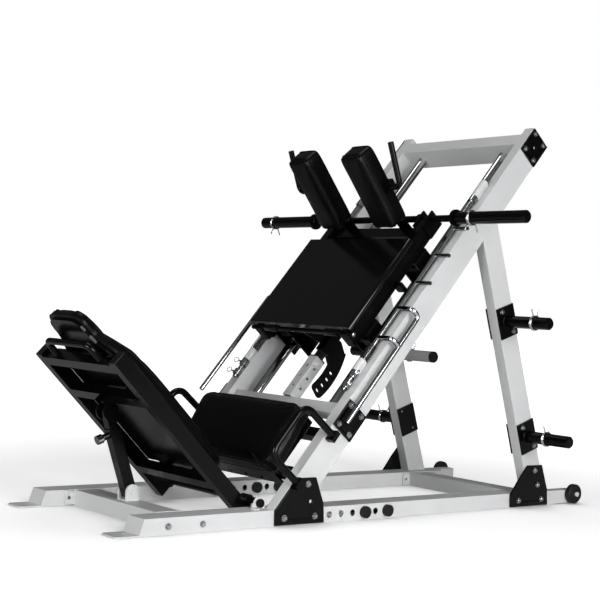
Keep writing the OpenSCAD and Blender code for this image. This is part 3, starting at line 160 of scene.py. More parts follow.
class Sheet:
    """A node tree being drawn."""

    def __init__(self, tree: NodeTree) -> None:
        """Keeps the tree."""
        self.tree = tree

    def add(self, kind: str, inputs: dict | None = None, **props: object) -> Node:
        """Adds a node.

        Args:
            kind: Blender's name of the node type.
            inputs: Socket values by socket name or number; a socket here is linked.
            props: Properties of the node.

        Returns:
            The node.
        """
        node = self.tree.nodes.new(kind)
        for name, value in props.items():
            setattr(node, name, value)
        for name, value in (inputs or {}).items():
            if isinstance(value, Socket):
                self.link(value, node.inputs[name])
            else:
                node.inputs[name].default_value = value
        return node

    def link(self, source: Socket, target: Socket) -> None:
        """Links an output to an input."""
        self.tree.links.new(source, target)

    def place(self) -> Socket:
        """Place on the object, in its own coordinates."""
        return self.add("ShaderNodeTexCoord").outputs["Object"]

    def noise(self, place: Socket, scale: Value, detail: float, output: int = 0) -> Socket:
        """Noise texture.

        Args:
            place: Where it is read.
            scale: Its scale.
            detail: Its detail.
            output: 0 for its value, 1 for its colour.

        Returns:
            That output.
        """
        node = self.add("ShaderNodeTexNoise", {"Vector": place, "Scale": scale, "Detail": detail})
        return node.outputs[output]

    def calc(self, operation: str, first: Value, second: Value, **props: object) -> Socket:
        """Result of an operation on two numbers."""
        return self.add("ShaderNodeMath", {0: first, 1: second}, operation=operation, **props).outputs[0]

    def ramp(self, value: Socket, low: float, high: float, first: Value = 0.0, last: float = 1.0) -> Socket:
        """Number moved from one range to another, and held at its ends."""
        return self.add("ShaderNodeMapRange", {
            "Value": value, "From Min": low, "From Max": high, "To Min": first, "To Max": last}).outputs[0]

    def blend(self, share: Value, first: object, second: object, kind: str = "MIX") -> Socket:
        """Mix of two colours by a share of the second."""
        return self.add("ShaderNodeMix", {"Factor": share, 6: first, 7: second},
                        data_type="RGBA", blend_type=kind).outputs[2]

    def bump(self, strength: Value, distance: float, height: Socket, under: Socket | None = None) -> Socket:
        """Normal of a bumpy surface, laid over another normal where one is given."""
        inputs = {"Strength": strength, "Distance": distance, "Height": height}
        if under is not None:
            inputs["Normal"] = under
        return self.add("ShaderNodeBump", inputs).outputs[0]


def shader_group(name: str, inputs: Inputs, outputs: Sequence[tuple[str, str]]) -> tuple:
    """Starts a shader node group.

    Args:
        name: Name of the group.
        inputs: Name, socket type and default of each input.
        outputs: Name and socket type of each output.

    Returns:
        The group's Sheet, its inputs and its outputs by their names.
    """
    tree = bpy.data.node_groups.new(name, "ShaderNodeTree")
    for label, kind, value in inputs:
        tree.interface.new_socket(label, in_out="INPUT", socket_type=kind).default_value = value
    for label, kind in outputs:
        tree.interface.new_socket(label, in_out="OUTPUT", socket_type=kind)
    sheet = Sheet(tree)
    return sheet, sheet.add("NodeGroupInput").outputs, sheet.add("NodeGroupOutput").inputs


FLOAT, COLOR, VECTOR = "NodeSocketFloat", "NodeSocketColor", "NodeSocketVector"


def make_grain_group() -> NodeTree:
    """Fine bumps of a sprayed or moulded skin, with a slow waviness under them."""
    sheet, given, result = shader_group("fine_grain", [
        ("Scale", FLOAT, 900.0), ("Depth", FLOAT, 0.1), ("Wave", FLOAT, 0.02)], [("Normal", VECTOR)])
    place = sheet.place()
    wave = sheet.bump(given["Wave"], 0.02, sheet.noise(place, 14.0, 1.0))
    fine = sheet.noise(place, given["Scale"], 2.0)
    sheet.link(sheet.bump(given["Depth"], 0.0004, fine, wave), result["Normal"])
    return sheet.tree


def make_drift_group() -> NodeTree:
    """Slow change of tone over a surface, with a mask for its gloss."""
    sheet, given, result = shader_group(
        "tone_drift", [("Color", COLOR, (0.5, 0.5, 0.5, 1)), ("Shift", FLOAT, 0.1), ("Scale", FLOAT, 5.0)],
        [("Color", COLOR), ("Mask", FLOAT)])
    cloud = sheet.noise(sheet.place(), given["Scale"], 5.0)
    level = sheet.ramp(cloud, 0.3, 0.7, sheet.calc("SUBTRACT", 1.0, given["Shift"]))
    sheet.link(sheet.blend(1.0, given["Color"], level, "MULTIPLY"), result["Color"])
    sheet.link(cloud, result["Mask"])
    return sheet.tree


def make_scuff_group() -> NodeTree:
    """Mask of fine rubbing marks and hair scratches."""
    sheet, given, result = shader_group(
        "rub_marks", [("Scale", FLOAT, 60.0), ("Amount", FLOAT, 0.3)], [("Mask", FLOAT)])
    place = sheet.place()
    turn = sheet.add("ShaderNodeMapping", {
        "Vector": place, "Rotation": (0.4, 0.9, 0.3), "Scale": (1.0, 0.06, 1.0)})
    thin = sheet.ramp(sheet.noise(turn.outputs[0], given["Scale"], 3.0), 0.58, 0.72)
    wide = sheet.ramp(sheet.noise(place, 7.0, 4.0), 0.42, 0.68)
    sheet.link(sheet.calc("MULTIPLY", sheet.calc("MULTIPLY", thin, wide), given["Amount"]), result["Mask"])
    return sheet.tree


def make_dust_group() -> NodeTree:
    """Mask of light dust settled on faces that look up."""
    sheet, given, result = shader_group("settled_dust", [("Amount", FLOAT, 0.1)], [("Mask", FLOAT)])
    up = sheet.add("ShaderNodeSeparateXYZ", {"Vector": sheet.add("ShaderNodeNewGeometry").outputs["Normal"]})
    top = sheet.ramp(up.outputs[2], 0.2, 1.0)
    soft = sheet.ramp(sheet.noise(sheet.place(), 24.0, 6.0), 0.35, 0.75)
    sheet.link(sheet.calc("MULTIPLY", sheet.calc("MULTIPLY", top, soft), given["Amount"]), result["Mask"])
    return sheet.tree


def make_hide_group() -> NodeTree:
    """Pebbled grain of upholstery vinyl over slow creases."""
    sheet, given, result = shader_group(
        "vinyl_grain", [("Scale", FLOAT, 420.0), ("Depth", FLOAT, 0.3)], [("Normal", VECTOR)])
    place = sheet.place()
    bend = sheet.noise(place, 90.0, 2.0, 1)
    push = sheet.add("ShaderNodeVectorMath", {0: bend, "Scale": 0.004}, operation="SCALE")
    moved = sheet.add("ShaderNodeVectorMath", {0: place, 1: push.outputs[0]}, operation="ADD")
    cell = sheet.add("ShaderNodeTexVoronoi", {"Vector": moved.outputs[0], "Scale": given["Scale"]},
                     feature="DISTANCE_TO_EDGE")
    raised = sheet.ramp(cell.outputs["Distance"], 0.0, 0.22)
    crease = sheet.bump(0.12, 0.006, sheet.noise(place, 22.0, 3.0))
    sheet.link(sheet.bump(given["Depth"], 0.0005, raised, crease), result["Normal"])
    return sheet.tree


@dataclass
class ShaderKit:
    """The shader groups that the finishes share."""

    grain: NodeTree = field(default_factory=make_grain_group)
    drift: NodeTree = field(default_factory=make_drift_group)
    scuff: NodeTree = field(default_factory=make_scuff_group)
    dust: NodeTree = field(default_factory=make_dust_group)
    hide: NodeTree = field(default_factory=make_hide_group)


# ---- Finishes


DUST_COLOR = (0.55, 0.54, 0.52, 1)
# Colour of the painted shade laid on bright metal faces seen at a slant
PAINTED_RIM_SHADE_COLOR = (0.02, 0.02, 0.022, 1)


@dataclass(frozen=True)
class Finish:
    """A finish made of one Principled shader with shared groups in front of it.

    Attributes:
        name: Name of the material.
        slot: Slot of the record that the finish stands for.
        color: Base colour, linear.
        rough: Roughness of the clean surface.
        metal: Metallic share.
        shift: Share by which the tone drifts down.
        grain: Scale of the surface bumps.
        depth: Strength of the surface bumps.
        scuff: Strength of the rubbing marks.
        dust: Strength of the dust on top faces.
        spec: Specular level.
        hide: Whether the bumps are a vinyl grain.
        painted_rim_shade: Share of painted shade by which faces seen at a slant darken, in place of the dark
            reflections at the edges of bright metal.
    """

    name: str
    slot: str
    color: tuple[float, float, float]
    rough: float
    metal: float = 0.0
    shift: float = 0.08
    grain: float = 900.0
    depth: float = 0.1
    scuff: float = 0.2
    dust: float = 0.1
    spec: float = 0.5
    hide: bool = False
    painted_rim_shade: float = 0.0

    def make(self, kit: ShaderKit) -> Material:
        """Builds the material.

        Args:
            kit: The shared shader groups.

        Returns:
            The material.
        """
        mat = bpy.data.materials.new(self.name)
        mat.use_nodes = True
        sheet = Sheet(mat.node_tree)
        skin = mat.node_tree.nodes["Principled BSDF"]
        skin.inputs["Metallic"].default_value = self.metal
        skin.inputs["Specular IOR Level"].default_value = self.spec
        drift = sheet.add("ShaderNodeGroup", {"Color": (*self.color, 1), "Shift": self.shift},
                          node_tree=kit.drift)
        dust = sheet.add("ShaderNodeGroup", {"Amount": self.dust}, node_tree=kit.dust)
        scuff = sheet.add("ShaderNodeGroup", {"Amount": self.scuff}, node_tree=kit.scuff)
        tone = sheet.blend(dust.outputs["Mask"], drift.outputs["Color"], DUST_COLOR)
        # Painted shade: the base colour darkens towards a near black where the face is seen at a slant, in
        # place of the dark reflections at the edges of chrome and zinc
        if self.painted_rim_shade:
            slant = sheet.add("ShaderNodeLayerWeight", {"Blend": 0.5})
            painted_rim_shade_share = sheet.ramp(slant.outputs["Facing"], 0.12, 0.62, 0.0, self.painted_rim_shade)
            tone = sheet.blend(painted_rim_shade_share, tone, PAINTED_RIM_SHADE_COLOR)
        sheet.link(tone, skin.inputs["Base Color"])
        gloss = sheet.ramp(drift.outputs["Mask"], 0.3, 0.7, self.rough * 0.9, min(1.0, self.rough * 1.12))
        sheet.link(sheet.calc("ADD", gloss, scuff.outputs["Mask"], use_clamp=True), skin.inputs["Roughness"])
        bumps = sheet.add("ShaderNodeGroup", {"Scale": self.grain, "Depth": self.depth},
                          node_tree=kit.hide if self.hide else kit.grain)
        sheet.link(bumps.outputs["Normal"], skin.inputs["Normal"])
        mat.diffuse_color = (*self.color, 1)
        return mat


WHITE_COAT = Finish("white_powder_coat", "white_coat", (0.56, 0.565, 0.57), 0.44, shift=0.05, depth=0.16,
                    scuff=0.10, dust=0.02, spec=0.4)
BLACK_COAT = Finish("black_powder_coat", "black_coat", (0.0018, 0.0018, 0.0020), 0.19, shift=0.2, depth=0.08,
                    scuff=0.08, dust=0.0005, spec=0.20)
GREY_COAT = Finish("grey_coat", "grey_coat", (0.36, 0.365, 0.37), 0.40, shift=0.08, depth=0.14, dust=0.03)
# Chrome, spring steel and zinc carry painted shade on faces seen at a slant
CHROME = Finish("chrome_plate", "chrome", (0.84, 0.85, 0.87), 0.09, metal=1.0, shift=0.05, grain=300.0,
                depth=0.02, scuff=0.12, dust=0.01, painted_rim_shade=0.96)
SPRING = Finish("spring_steel", "chrome", (0.10, 0.10, 0.105), 0.22, metal=1.0, shift=0.1, grain=500.0,
                depth=0.03, scuff=0.12, dust=0.01, painted_rim_shade=0.9)
ZINC = Finish("zinc_plate", "zinc", (0.66, 0.67, 0.69), 0.24, metal=1.0, shift=0.14, grain=700.0, depth=0.06,
              dust=0.02, painted_rim_shade=0.6)
VINYL = Finish("black_vinyl", "vinyl", (0.0018, 0.0018, 0.0020), 0.30, shift=0.18, grain=430.0, depth=0.20,
               scuff=0.08, dust=0.0006, spec=0.14, hide=True)
THREAD = Finish("black_thread", "vinyl", (0.008, 0.008, 0.009), 0.62, shift=0.2, grain=1500.0, depth=0.3,
                dust=0.002, spec=0.2)
RUBBER = Finish("black_rubber", "rubber", (0.0034, 0.0034, 0.0036), 0.46, shift=0.2, grain=1200.0, depth=0.3,
                dust=0.006, spec=0.3)
BOARD = Finish("black_laminate", "board", (0.0026, 0.0026, 0.0029), 0.14, shift=0.2, grain=1400.0, depth=0.03,
               scuff=0.12, dust=0.0006, spec=0.36)


@dataclass
class Paintbox:
    """All finishes, made once.

    Attributes:
        kit: Shared shader groups.
        made: Materials by the name of their finish.
    """

    kit: ShaderKit = field(default_factory=ShaderKit)
    made: dict[str, Material] = field(default_factory=dict)

    def get(self, finish: Finish) -> Material:
        """Returns the material of a finish."""
        if finish.name not in self.made:
            self.made[finish.name] = finish.make(self.kit)
        return self.made[finish.name]


# ---- Mesh helpers and Geometry Nodes


def new_object(name: str, data: bpy.types.ID) -> Object:
    """Links a mesh, a lamp or a camera into the scene as an object at the origin."""
    obj = bpy.data.objects.new(name, data)
    bpy.context.scene.collection.objects.link(obj)
    return obj


def path_object(name: str, paths: Sequence[Path]) -> Object:
    """Mesh of edges along some paths.

    Args:
        name: Name of the object.
        paths: The points of each path, and whether it closes.

    Returns:
        The object.
    """
    verts: list[Vector] = []
    edges: list[tuple[int, int]] = []
    for points, closed in paths:
        first = len(verts)
        verts.extend(points)
        edges.extend((first + i, first + i + 1) for i in range(len(points) - 1))
        if closed:
            edges.append((first + len(points) - 1, first))
    mesh = bpy.data.meshes.new(name)
    mesh.from_pydata([tuple(v) for v in verts], edges, [])
    return new_object(name, mesh)


def geometry_tree(name: str, inputs: Inputs) -> tuple:
    """Starts a Geometry Nodes tree with named inputs and a material.

    Args:
        name: Name of the tree.
        inputs: Name, socket type and default of each input after the geometry.

    Returns:
        The tree's Sheet and its inputs by their names.
    """
    tree = bpy.data.node_groups.new(name, "GeometryNodeTree")
    tree.interface.new_socket("Geometry", in_out="INPUT", socket_type="NodeSocketGeometry")
    for label, kind, value in inputs:
        tree.interface.new_socket(label, in_out="INPUT", socket_type=kind).default_value = value
    tree.interface.new_socket("Material", in_out="INPUT", socket_type="NodeSocketMaterial")
    tree.interface.new_socket("Geometry", in_out="OUTPUT", socket_type="NodeSocketGeometry")
    sheet = Sheet(tree)
    return sheet, sheet.add("NodeGroupInput").outputs


def close_tree(sheet: Sheet, given: object, result: Socket, smooth: bool) -> NodeTree:
    """Ends a tree in realized geometry with its shading and material set.

    Args:
        sheet: The tree.
        given: Its inputs by their names.
        result: The geometry that it has made.
        smooth: Whether its faces are shaded smooth.

    Returns:
        The tree.
    """
    real = sheet.add("GeometryNodeRealizeInstances", {"Geometry": result})
    shade = sheet.add("GeometryNodeSetShadeSmooth", {"Geometry": real.outputs[0], "Shade Smooth": smooth})
    paint = sheet.add("GeometryNodeSetMaterial", {
        "Geometry": shade.outputs[0], "Material": given["Material"]})
    sheet.add("NodeGroupOutput", {0: paint.outputs[0]})
    return sheet.tree


def make_tube_tree() -> NodeTree:
    """Round wire or piping along the edges of a path."""
    sheet, given = geometry_tree("tube_on_path", [("Radius", FLOAT, 0.003), ("Sides", "NodeSocketInt", 12)])
    curve = sheet.add("GeometryNodeMeshToCurve", {"Mesh": given["Geometry"]})
    ring = sheet.add("GeometryNodeCurvePrimitiveCircle", {
        "Resolution": given["Sides"], "Radius": given["Radius"]})
    tube = sheet.add("GeometryNodeCurveToMesh", {
        "Curve": curve.outputs[0], "Profile Curve": ring.outputs[0], "Fill Caps": True})
    return close_tree(sheet, given, tube.outputs[0], True)


def even_curve(sheet: Sheet, given: object) -> Socket:
    """Curve along the edges of a path, with a point at every step of the tree's pitch."""
    curve = sheet.add("GeometryNodeMeshToCurve", {"Mesh": given["Geometry"]})
    return sheet.add("GeometryNodeResampleCurve", {"Curve": curve.outputs[0], "Length": given["Pitch"]},
                     mode="LENGTH").outputs[0]


def make_stitch_tree() -> NodeTree:
    """Short stitches along a path, each lying along it."""
    sheet, given = geometry_tree("stitches_on_path", [
        ("Pitch", FLOAT, 0.007), ("Length", FLOAT, 0.0048), ("Width", FLOAT, 0.0013)])
    dots = even_curve(sheet, given)
    rod = sheet.add("GeometryNodeMeshCylinder", {
        "Vertices": 6, "Side Segments": 2, "Radius": sheet.calc("MULTIPLY", given["Width"], 0.5),
        "Depth": given["Length"]})
    tangent = sheet.add("GeometryNodeInputTangent").outputs[0]
    along = sheet.add("FunctionNodeAlignRotationToVector", {"Vector": tangent}, axis="Z")
    laid = sheet.add("GeometryNodeInstanceOnPoints", {
        "Points": dots, "Instance": rod.outputs[0], "Rotation": along.outputs[0]})
    return close_tree(sheet, given, laid.outputs[0], True)


def make_bolt_tree() -> NodeTree:
    """Washers with chamfered hexagon heads on points, turned by the points' own angles."""
    sheet, given = geometry_tree("bolts_on_points", [
        ("Washer Radius", FLOAT, 0.012), ("Washer Height", FLOAT, 0.002), ("Head Radius", FLOAT, 0.0096),
        ("Head Height", FLOAT, 0.008)])
    base, wide, high = given["Washer Height"], given["Head Radius"], given["Head Height"]

    def part_of(size: Socket, share: float) -> Socket:
        """Share of a size."""
        return sheet.calc("MULTIPLY", size, share)

    wall = part_of(high, 0.78)
    washer = sheet.add("GeometryNodeMeshCylinder", {
        "Vertices": 28, "Radius": given["Washer Radius"], "Depth": base})
    hexagon = sheet.add("GeometryNodeMeshCone", {
        "Vertices": 6, "Radius Top": wide, "Radius Bottom": wide, "Depth": wall})
    dome = sheet.add("GeometryNodeMeshCone", {
        "Vertices": 24, "Radius Top": part_of(wide, 0.70), "Radius Bottom": part_of(wide, 0.90),
        "Depth": part_of(high, 0.22)})
    join = sheet.add("GeometryNodeJoinGeometry")
    crown = sheet.calc("ADD", wall, base)
    for piece, height in ((washer, part_of(base, 0.5)), (hexagon, base), (dome, crown)):
        lift = sheet.add("ShaderNodeCombineXYZ", {"Z": height})
        raised = sheet.add("GeometryNodeTransform", {
            "Geometry": piece.outputs[0], "Translation": lift.outputs[0]})
        sheet.link(raised.outputs[0], join.inputs[0])
    turn = sheet.add("GeometryNodeInputNamedAttribute", {"Name": "turn"}, data_type="FLOAT_VECTOR")
    euler = sheet.add("FunctionNodeEulerToRotation", {"Euler": turn.outputs[0]})
    laid = sheet.add("GeometryNodeInstanceOnPoints", {
        "Points": given["Geometry"], "Instance": join.outputs[0], "Rotation": euler.outputs[0]})
    return close_tree(sheet, given, laid.outputs[0], False)


def make_bead_tree() -> NodeTree:
    """Rippled weld bead along a path."""
    sheet, given = geometry_tree("weld_on_path", [("Radius", FLOAT, 0.0035), ("Pitch", FLOAT, 0.003)])
    ring = sheet.add("GeometryNodeCurvePrimitiveCircle", {"Resolution": 8, "Radius": given["Radius"]})
    tube = sheet.add("GeometryNodeCurveToMesh", {
        "Curve": even_curve(sheet, given), "Profile Curve": ring.outputs[0], "Fill Caps": True})
    ripple = sheet.noise(sheet.add("GeometryNodeInputPosition").outputs[0], 260.0, 1.0, 1)
    centred = sheet.add("ShaderNodeVectorMath", {0: ripple, 1: (0.5, 0.5, 0.5)}, operation="SUBTRACT")
    small = sheet.add("ShaderNodeVectorMath", {0: centred.outputs[0], "Scale": 0.0035}, operation="SCALE")
    moved = sheet.add("GeometryNodeSetPosition", {"Geometry": tube.outputs[0], "Offset": small.outputs[0]})
    return close_tree(sheet, given, moved.outputs[0], True)


@dataclass
class NodeKit:
    """The Geometry Nodes trees that the pieces share."""

    tube: NodeTree = field(default_factory=make_tube_tree)
    stitch: NodeTree = field(default_factory=make_stitch_tree)
    bolt: NodeTree = field(default_factory=make_bolt_tree)
    bead: NodeTree = field(default_factory=make_bead_tree)

    def grow(self, source: Object, tree: NodeTree, values: dict[str, object], name: str) -> Object:
        """Runs a tree on an object and keeps the result as a plain mesh.

        Args:
            source: Object with the path or the points; it is removed.
            tree: Tree to run.
            values: Inputs of the tree by their names.
            name: Name of the new object.

        Returns:
            The new object.
        """
        mod = source.modifiers.new("grow", "NODES")
        mod.node_group = tree
        keys = {i.name: i.identifier for i in tree.interface.items_tree if i.in_out == "INPUT"}
        for label, value in values.items():
            mod[keys[label]] = value
        bpy.context.view_layer.update()
        done = source.evaluated_get(bpy.context.evaluated_depsgraph_get())
        mesh = bpy.data.meshes.new_from_object(done)
        mesh.name = name
        bpy.data.objects.remove(source)
        return new_object(name, mesh)


@dataclass
class Shop:
    """What every builder needs: the layout, the finishes and the node trees."""

    layout: Layout
    paint: Paintbox
    nodes: NodeKit

    def place(self, obj: Object, body: Body, finish: Finish, *replaced: str) -> Object:
        """Lets a piece ride on a body and names its finish.

        Args:
            obj: The finished piece.
            body: Body that carries it.
            finish: Its finish.
            replaced: CAD nodes that it stands for.

        Returns:
            The piece.
        """
        if not obj.data.materials:
            obj.data.materials.append(self.paint.get(finish))
        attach(obj, body.value)
        if replaced:
            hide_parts(*replaced)
        LOG.info("%s rides on %s, %d faces", obj.name, body.value, len(obj.data.polygons))
        return obj

    def wire(self, name: str, paths: Sequence[Path], radius: float, finish: Finish, sides: int) -> Object:
        """Round wire along some paths.

        Args:
            name: Name of the piece.
            paths: Points of each path, and whether it closes.
            radius: Radius of the wire in millimetres.
            finish: Its finish.
            sides: Sides of its section.

        Returns:
            The piece.
        """
        values = {"Radius": radius * MM, "Sides": sides, "Material": self.paint.get(finish)}
        return self.nodes.grow(path_object(name + "_path", paths), self.nodes.tube, values, name)


def circle(at: Vector, first: Vector, second: Vector, radius: float, steps: int = 48) -> Path:
    """Closed path round an axis.

    Args:
        at: Its middle, in metres.
        first: Direction of its first point.
        second: Direction a quarter turn on.
        radius: Its radius in millimetres.
        steps: Number of points.

    Returns:
        The path.
    """
    turns = (2 * math.pi * k / steps for k in range(steps))
    return [at + (first * math.cos(a) + second * math.sin(a)) * radius * MM for a in turns], True


def add_walls(bm: BMesh, rings: Sequence[Sequence[bmesh.types.BMVert]]) -> None:
    """Closes the space between each ring of points and the next with faces."""
    for low, high in zip(rings, rings[1:]):
        n = len(low)
        for k in range(n):
            bm.faces.new((low[k], low[(k + 1) % n], high[(k + 1) % n], high[k]))


def lathe(axis_at: Vector, along: Vector, profile: Sequence[tuple[float, float]], steps: int = 40) -> BMesh:
    """Turns a profile round an axis.

    Args:
        axis_at: Point on the axis, in metres.
        along: Direction of the axis.
        profile: Distance along and radius of each point, in millimetres.
        steps: Points round the axis.

    Returns:
        The mesh, closed at both ends.
    """
    along = along.normalized()
    side = along.orthogonal().normalized()
    other = along.cross(side)
    bm = bmesh.new()
    rings = []
    for at, radius in profile:
        points, _ = circle(axis_at + along * at * MM, side, other, radius, steps)
        rings.append([bm.verts.new(p) for p in points])
    add_walls(bm, rings)
    bm.faces.new(list(reversed(rings[0])))
    bm.faces.new(rings[-1])
    bmesh.ops.recalc_face_normals(bm, faces=bm.faces)
    return bm


def block(center: Vector, axes: Axes, size: tuple[float, float, float], bevel: float) -> BMesh:
    """Block with rounded edges.

    Args:
        center: Its middle, in metres.
        axes: Its three directions.
        size: Its sizes along them, in millimetres.
        bevel: Rounding of the edges, in millimetres.

    Returns:
        The mesh.
    """
    bm = bmesh.new()
    bmesh.ops.create_cube(bm, size=1.0)
    for v in bm.verts:
        local = [v.co[i] * size[i] * MM for i in range(3)]
        v.co = center + sum((axes[i] * local[i] for i in range(3)), Vector())
    bmesh.ops.bevel(bm, geom=list(bm.edges), offset=bevel * MM, segments=3, affect="EDGES", profile=0.5)
    bmesh.ops.recalc_face_normals(bm, faces=bm.faces)
    return bm


def gather(name: str, parts: Sequence[BMesh], smooth_angle: float = 40.0) -> Object:
    """Joins meshes into one object with smooth faces and sharp edges.

    Args:
        name: Name of the object.
        parts: The meshes; they are freed.
        smooth_angle: Edges sharper than this stay sharp.

    Returns:
        The object.
    """
    mesh = bpy.data.meshes.new(name)
    whole = bmesh.new()
    for part in parts:
        piece = bpy.data.meshes.new("piece")
        part.to_mesh(piece)
        part.free()
        whole.from_mesh(piece)
        bpy.data.meshes.remove(piece)
    for face in whole.faces:
        face.smooth = True
    for edge in whole.edges:
        if len(edge.link_faces) == 2 and edge.calc_face_angle(0.0) > math.radians(smooth_angle):
            edge.smooth = False
    whole.to_mesh(mesh)
    whole.free()
    return new_object(name, mesh)


# ---- Pads


def resample(points: Sequence[tuple[float, ...]], count: int) -> list[tuple[float, ...]]:
    """Spreads points evenly along a closed outline.

    Args:
        points: Corners of the outline; only the first two numbers count for distance.
        count: Points wanted.

    Returns:
        The even points.
    """
    n = len(points)
    gaps = [math.dist(points[i][:2], points[(i + 1) % n][:2]) for i in range(n)]
    total = sum(gaps)
    out, i, run = [], 0, 0.0
    for k in range(count):
        want = total * k / count
        while run + gaps[i] < want:
            run += gaps[i]
            i += 1
        f = (want - run) / gaps[i] if gaps[i] else 0.0
        a, b = points[i], points[(i + 1) % n]
        out.append(tuple(p + (q - p) * f for p, q in zip(a, b)))
    return out


@dataclass
class Cushion:
    """A foam pad under vinyl: a flat back, drawn-in sides and a crowned top.

    Attributes:
        name: Name of the piece.
        node: CAD node that it stands for.
        body: Body that carries it.
        origin: Middle of its back, in metres.
        axes: Directions of its length, width and height.
        outline: Length, width and height share of points round it, in millimetres.
        thick: Height at the sides.
        crown: Rise of the middle.
        soft: Rounding of the top edge.
        swell: Most that a point may move in the simulation, in millimetres.
        around: Points round the pad.
        frames: Length of the simulation.
        held_share: Share of the height that is held in the simulation.
        welts: Ring of the profile and lift of each welt.
        welt_radius: Radius of the welts.
        seam: Ring of the profile and lift of the stitches.
        profile: Inset and share of the height of each ring of the side.
        domes: Size of each ring of the top, as a share of the last ring of the side.
    """

    name: str
    node: str
    body: Body
    origin: Vector
    axes: Axes
    outline: list[Spot]
    thick: float
    crown: float
    soft: float
    swell: float
    around: int = 168
    frames: int = 14
    held_share: float = 0.3
    welts: tuple[tuple[int, float], ...] = ((8, 0.4), (2, 0.6))
    welt_radius: float = 1.9
    seam: tuple[int, float] = (10, 0.3)
    profile: tuple[tuple[float, float], ...] = (
        (7.0, 0.0), (3.0, 0.02), (1.2, 0.06), (0.4, 0.14), (0.0, 0.25), (0.0, 0.4), (0.3, 0.54), (1.2, 0.67),
        (2.8, 0.78), (5.6, 0.87), (9.6, 0.935), (15.0, 0.975), (22.0, 0.998))
    domes: tuple[float, ...] = (0.94, 0.86, 0.76, 0.65, 0.53, 0.41, 0.29, 0.17, 0.07)

    def ring_points(self, inset: float) -> list[Spot]:
        """Outline moved inwards by a distance along its own normals."""
        pts = resample(self.outline, self.around)
        n = len(pts)
        out = []
        for i in range(n):
            a, b = pts[i - 2], pts[(i + 2) % n]
            dx, dy = b[0] - a[0], b[1] - a[1]
            size = math.hypot(dx, dy) or 1.0
            out.append((pts[i][0] - dy / size * inset, pts[i][1] + dx / size * inset, pts[i][2]))
        return out

    def spot(self, l: float, w: float, h: float) -> Vector:
        """Point of the pad, in metres in the model's frame."""
        return self.origin + (self.axes[0] * l + self.axes[1] * w + self.axes[2] * h) * MM

    def shell(self) -> Object:
        """Builds the pad's skin before it is blown up.

        Returns:
            The object.
        """
        after = self.outline[1:] + self.outline[:1]
        if sum(a[0] * b[1] - b[0] * a[1] for a, b in zip(self.outline, after)) < 0:
            self.outline.reverse()
        levels = []
        for inset, share in self.profile:
            levels.append([(l, w, q * self.thick * share) for l, w, q in self.ring_points(inset * self.soft)])
        edge = self.ring_points(self.profile[-1][0] * self.soft)
        for c in self.domes:
            rise = self.crown * (1 - c * c)
            levels.append([(l * c, w * c, (q * c + 1 - c) * self.thick + rise) for l, w, q in edge])
        bm = bmesh.new()
        rings = [[bm.verts.new(self.spot(*p)) for p in level] for level in levels]
        n = self.around
        add_walls(bm, rings)
        top = bm.verts.new(self.spot(0, 0, self.thick + self.crown))
        foot = bm.verts.new(self.spot(0, 0, 0))
        for k in range(n):
            bm.faces.new((rings[-1][k], rings[-1][(k + 1) % n], top))
            bm.faces.new((rings[0][(k + 1) % n], rings[0][k], foot))
        bmesh.ops.recalc_face_normals(bm, faces=bm.faces)
        mesh = bpy.data.meshes.new(self.name)
        bm.to_mesh(mesh)
        bm.free()
        return new_object(self.name, mesh)

    def blow(self, obj: Object) -> None:
        """Swells the skin by a short cloth simulation, held at its back.

        Args:
            obj: The skin; its points are moved in place.
        """
        scene = bpy.context.scene
        rest = [v.co.copy() for v in obj.data.vertices]
        held = obj.vertex_groups.new(name="held")
        for v in obj.data.vertices:
            if (v.co - self.origin).dot(self.axes[2]) / MM < self.held_share * self.thick:
                held.add([v.index], 1.0, "REPLACE")
        mod = obj.modifiers.new("swell", "CLOTH")
        mod.settings.quality = 5
        mod.settings.mass = 0.4
        mod.settings.use_pressure = True
        mod.settings.uniform_pressure_force = 3.0
        mod.settings.tension_stiffness = 20.0
        mod.settings.compression_stiffness = 20.0
        mod.settings.bending_stiffness = 2.0
        mod.settings.vertex_group_mass = "held"
        mod.settings.effector_weights.gravity = 0.0
        mod.collision_settings.use_collision = False
        mod.point_cache.frame_start = 1
        mod.point_cache.frame_end = self.frames
        for f in range(1, self.frames + 1):
            scene.frame_set(f)
        done = obj.evaluated_get(bpy.context.evaluated_depsgraph_get())
        moved = [v.co.copy() for v in done.data.vertices]
        obj.modifiers.remove(mod)
        obj.vertex_groups.clear()
        scene.frame_set(1)
        limit = self.swell * MM
        for v, a, b in zip(obj.data.vertices, rest, moved):
            step = b - a
            v.co = a + (step * (limit / step.length) if step.length > limit else step)

    def refine(self, obj: Object) -> Mesh:
        """Smooths the skin once, with its two middle points left out and closed again after it.

        Args:
            obj: The skin.

        Returns:
            The finer mesh.
        """
        bm = bmesh.new()
        bm.from_mesh(obj.data)
        bm.verts.ensure_lookup_table()
        bmesh.ops.delete(bm, geom=[bm.verts[-1], bm.verts[-2]], context="VERTS")
        bm.to_mesh(obj.data)
        bm.free()
        sub = obj.modifiers.new("round", "SUBSURF")
        sub.levels = sub.render_levels = 1
        bpy.context.view_layer.update()
        mesh = bpy.data.meshes.new_from_object(obj.evaluated_get(bpy.context.evaluated_depsgraph_get()))
        obj.modifiers.remove(sub)
        bm = bmesh.new()
        bm.from_mesh(mesh)
        bmesh.ops.poke(bm, faces=bmesh.ops.holes_fill(bm, edges=bm.edges, sides=0)["faces"])
        bmesh.ops.recalc_face_normals(bm, faces=bm.faces)
        for face in bm.faces:
            face.smooth = True
        bm.to_mesh(mesh)
        bm.free()
        return mesh

    def build(self, shop: Shop) -> None:
        """Makes the pad, its welts and its stitches.

        Args:
            shop: Layout, finishes and node trees.
        """
        obj = self.shell()
        self.blow(obj)
        n = self.around

        def ring(index: int, out: float) -> Path:
            """Closed path along a ring of the skin, lifted off it."""
            base = [obj.data.vertices[index * n + k] for k in range(n)]
            return [v.co + v.normal * out * MM for v in base], True

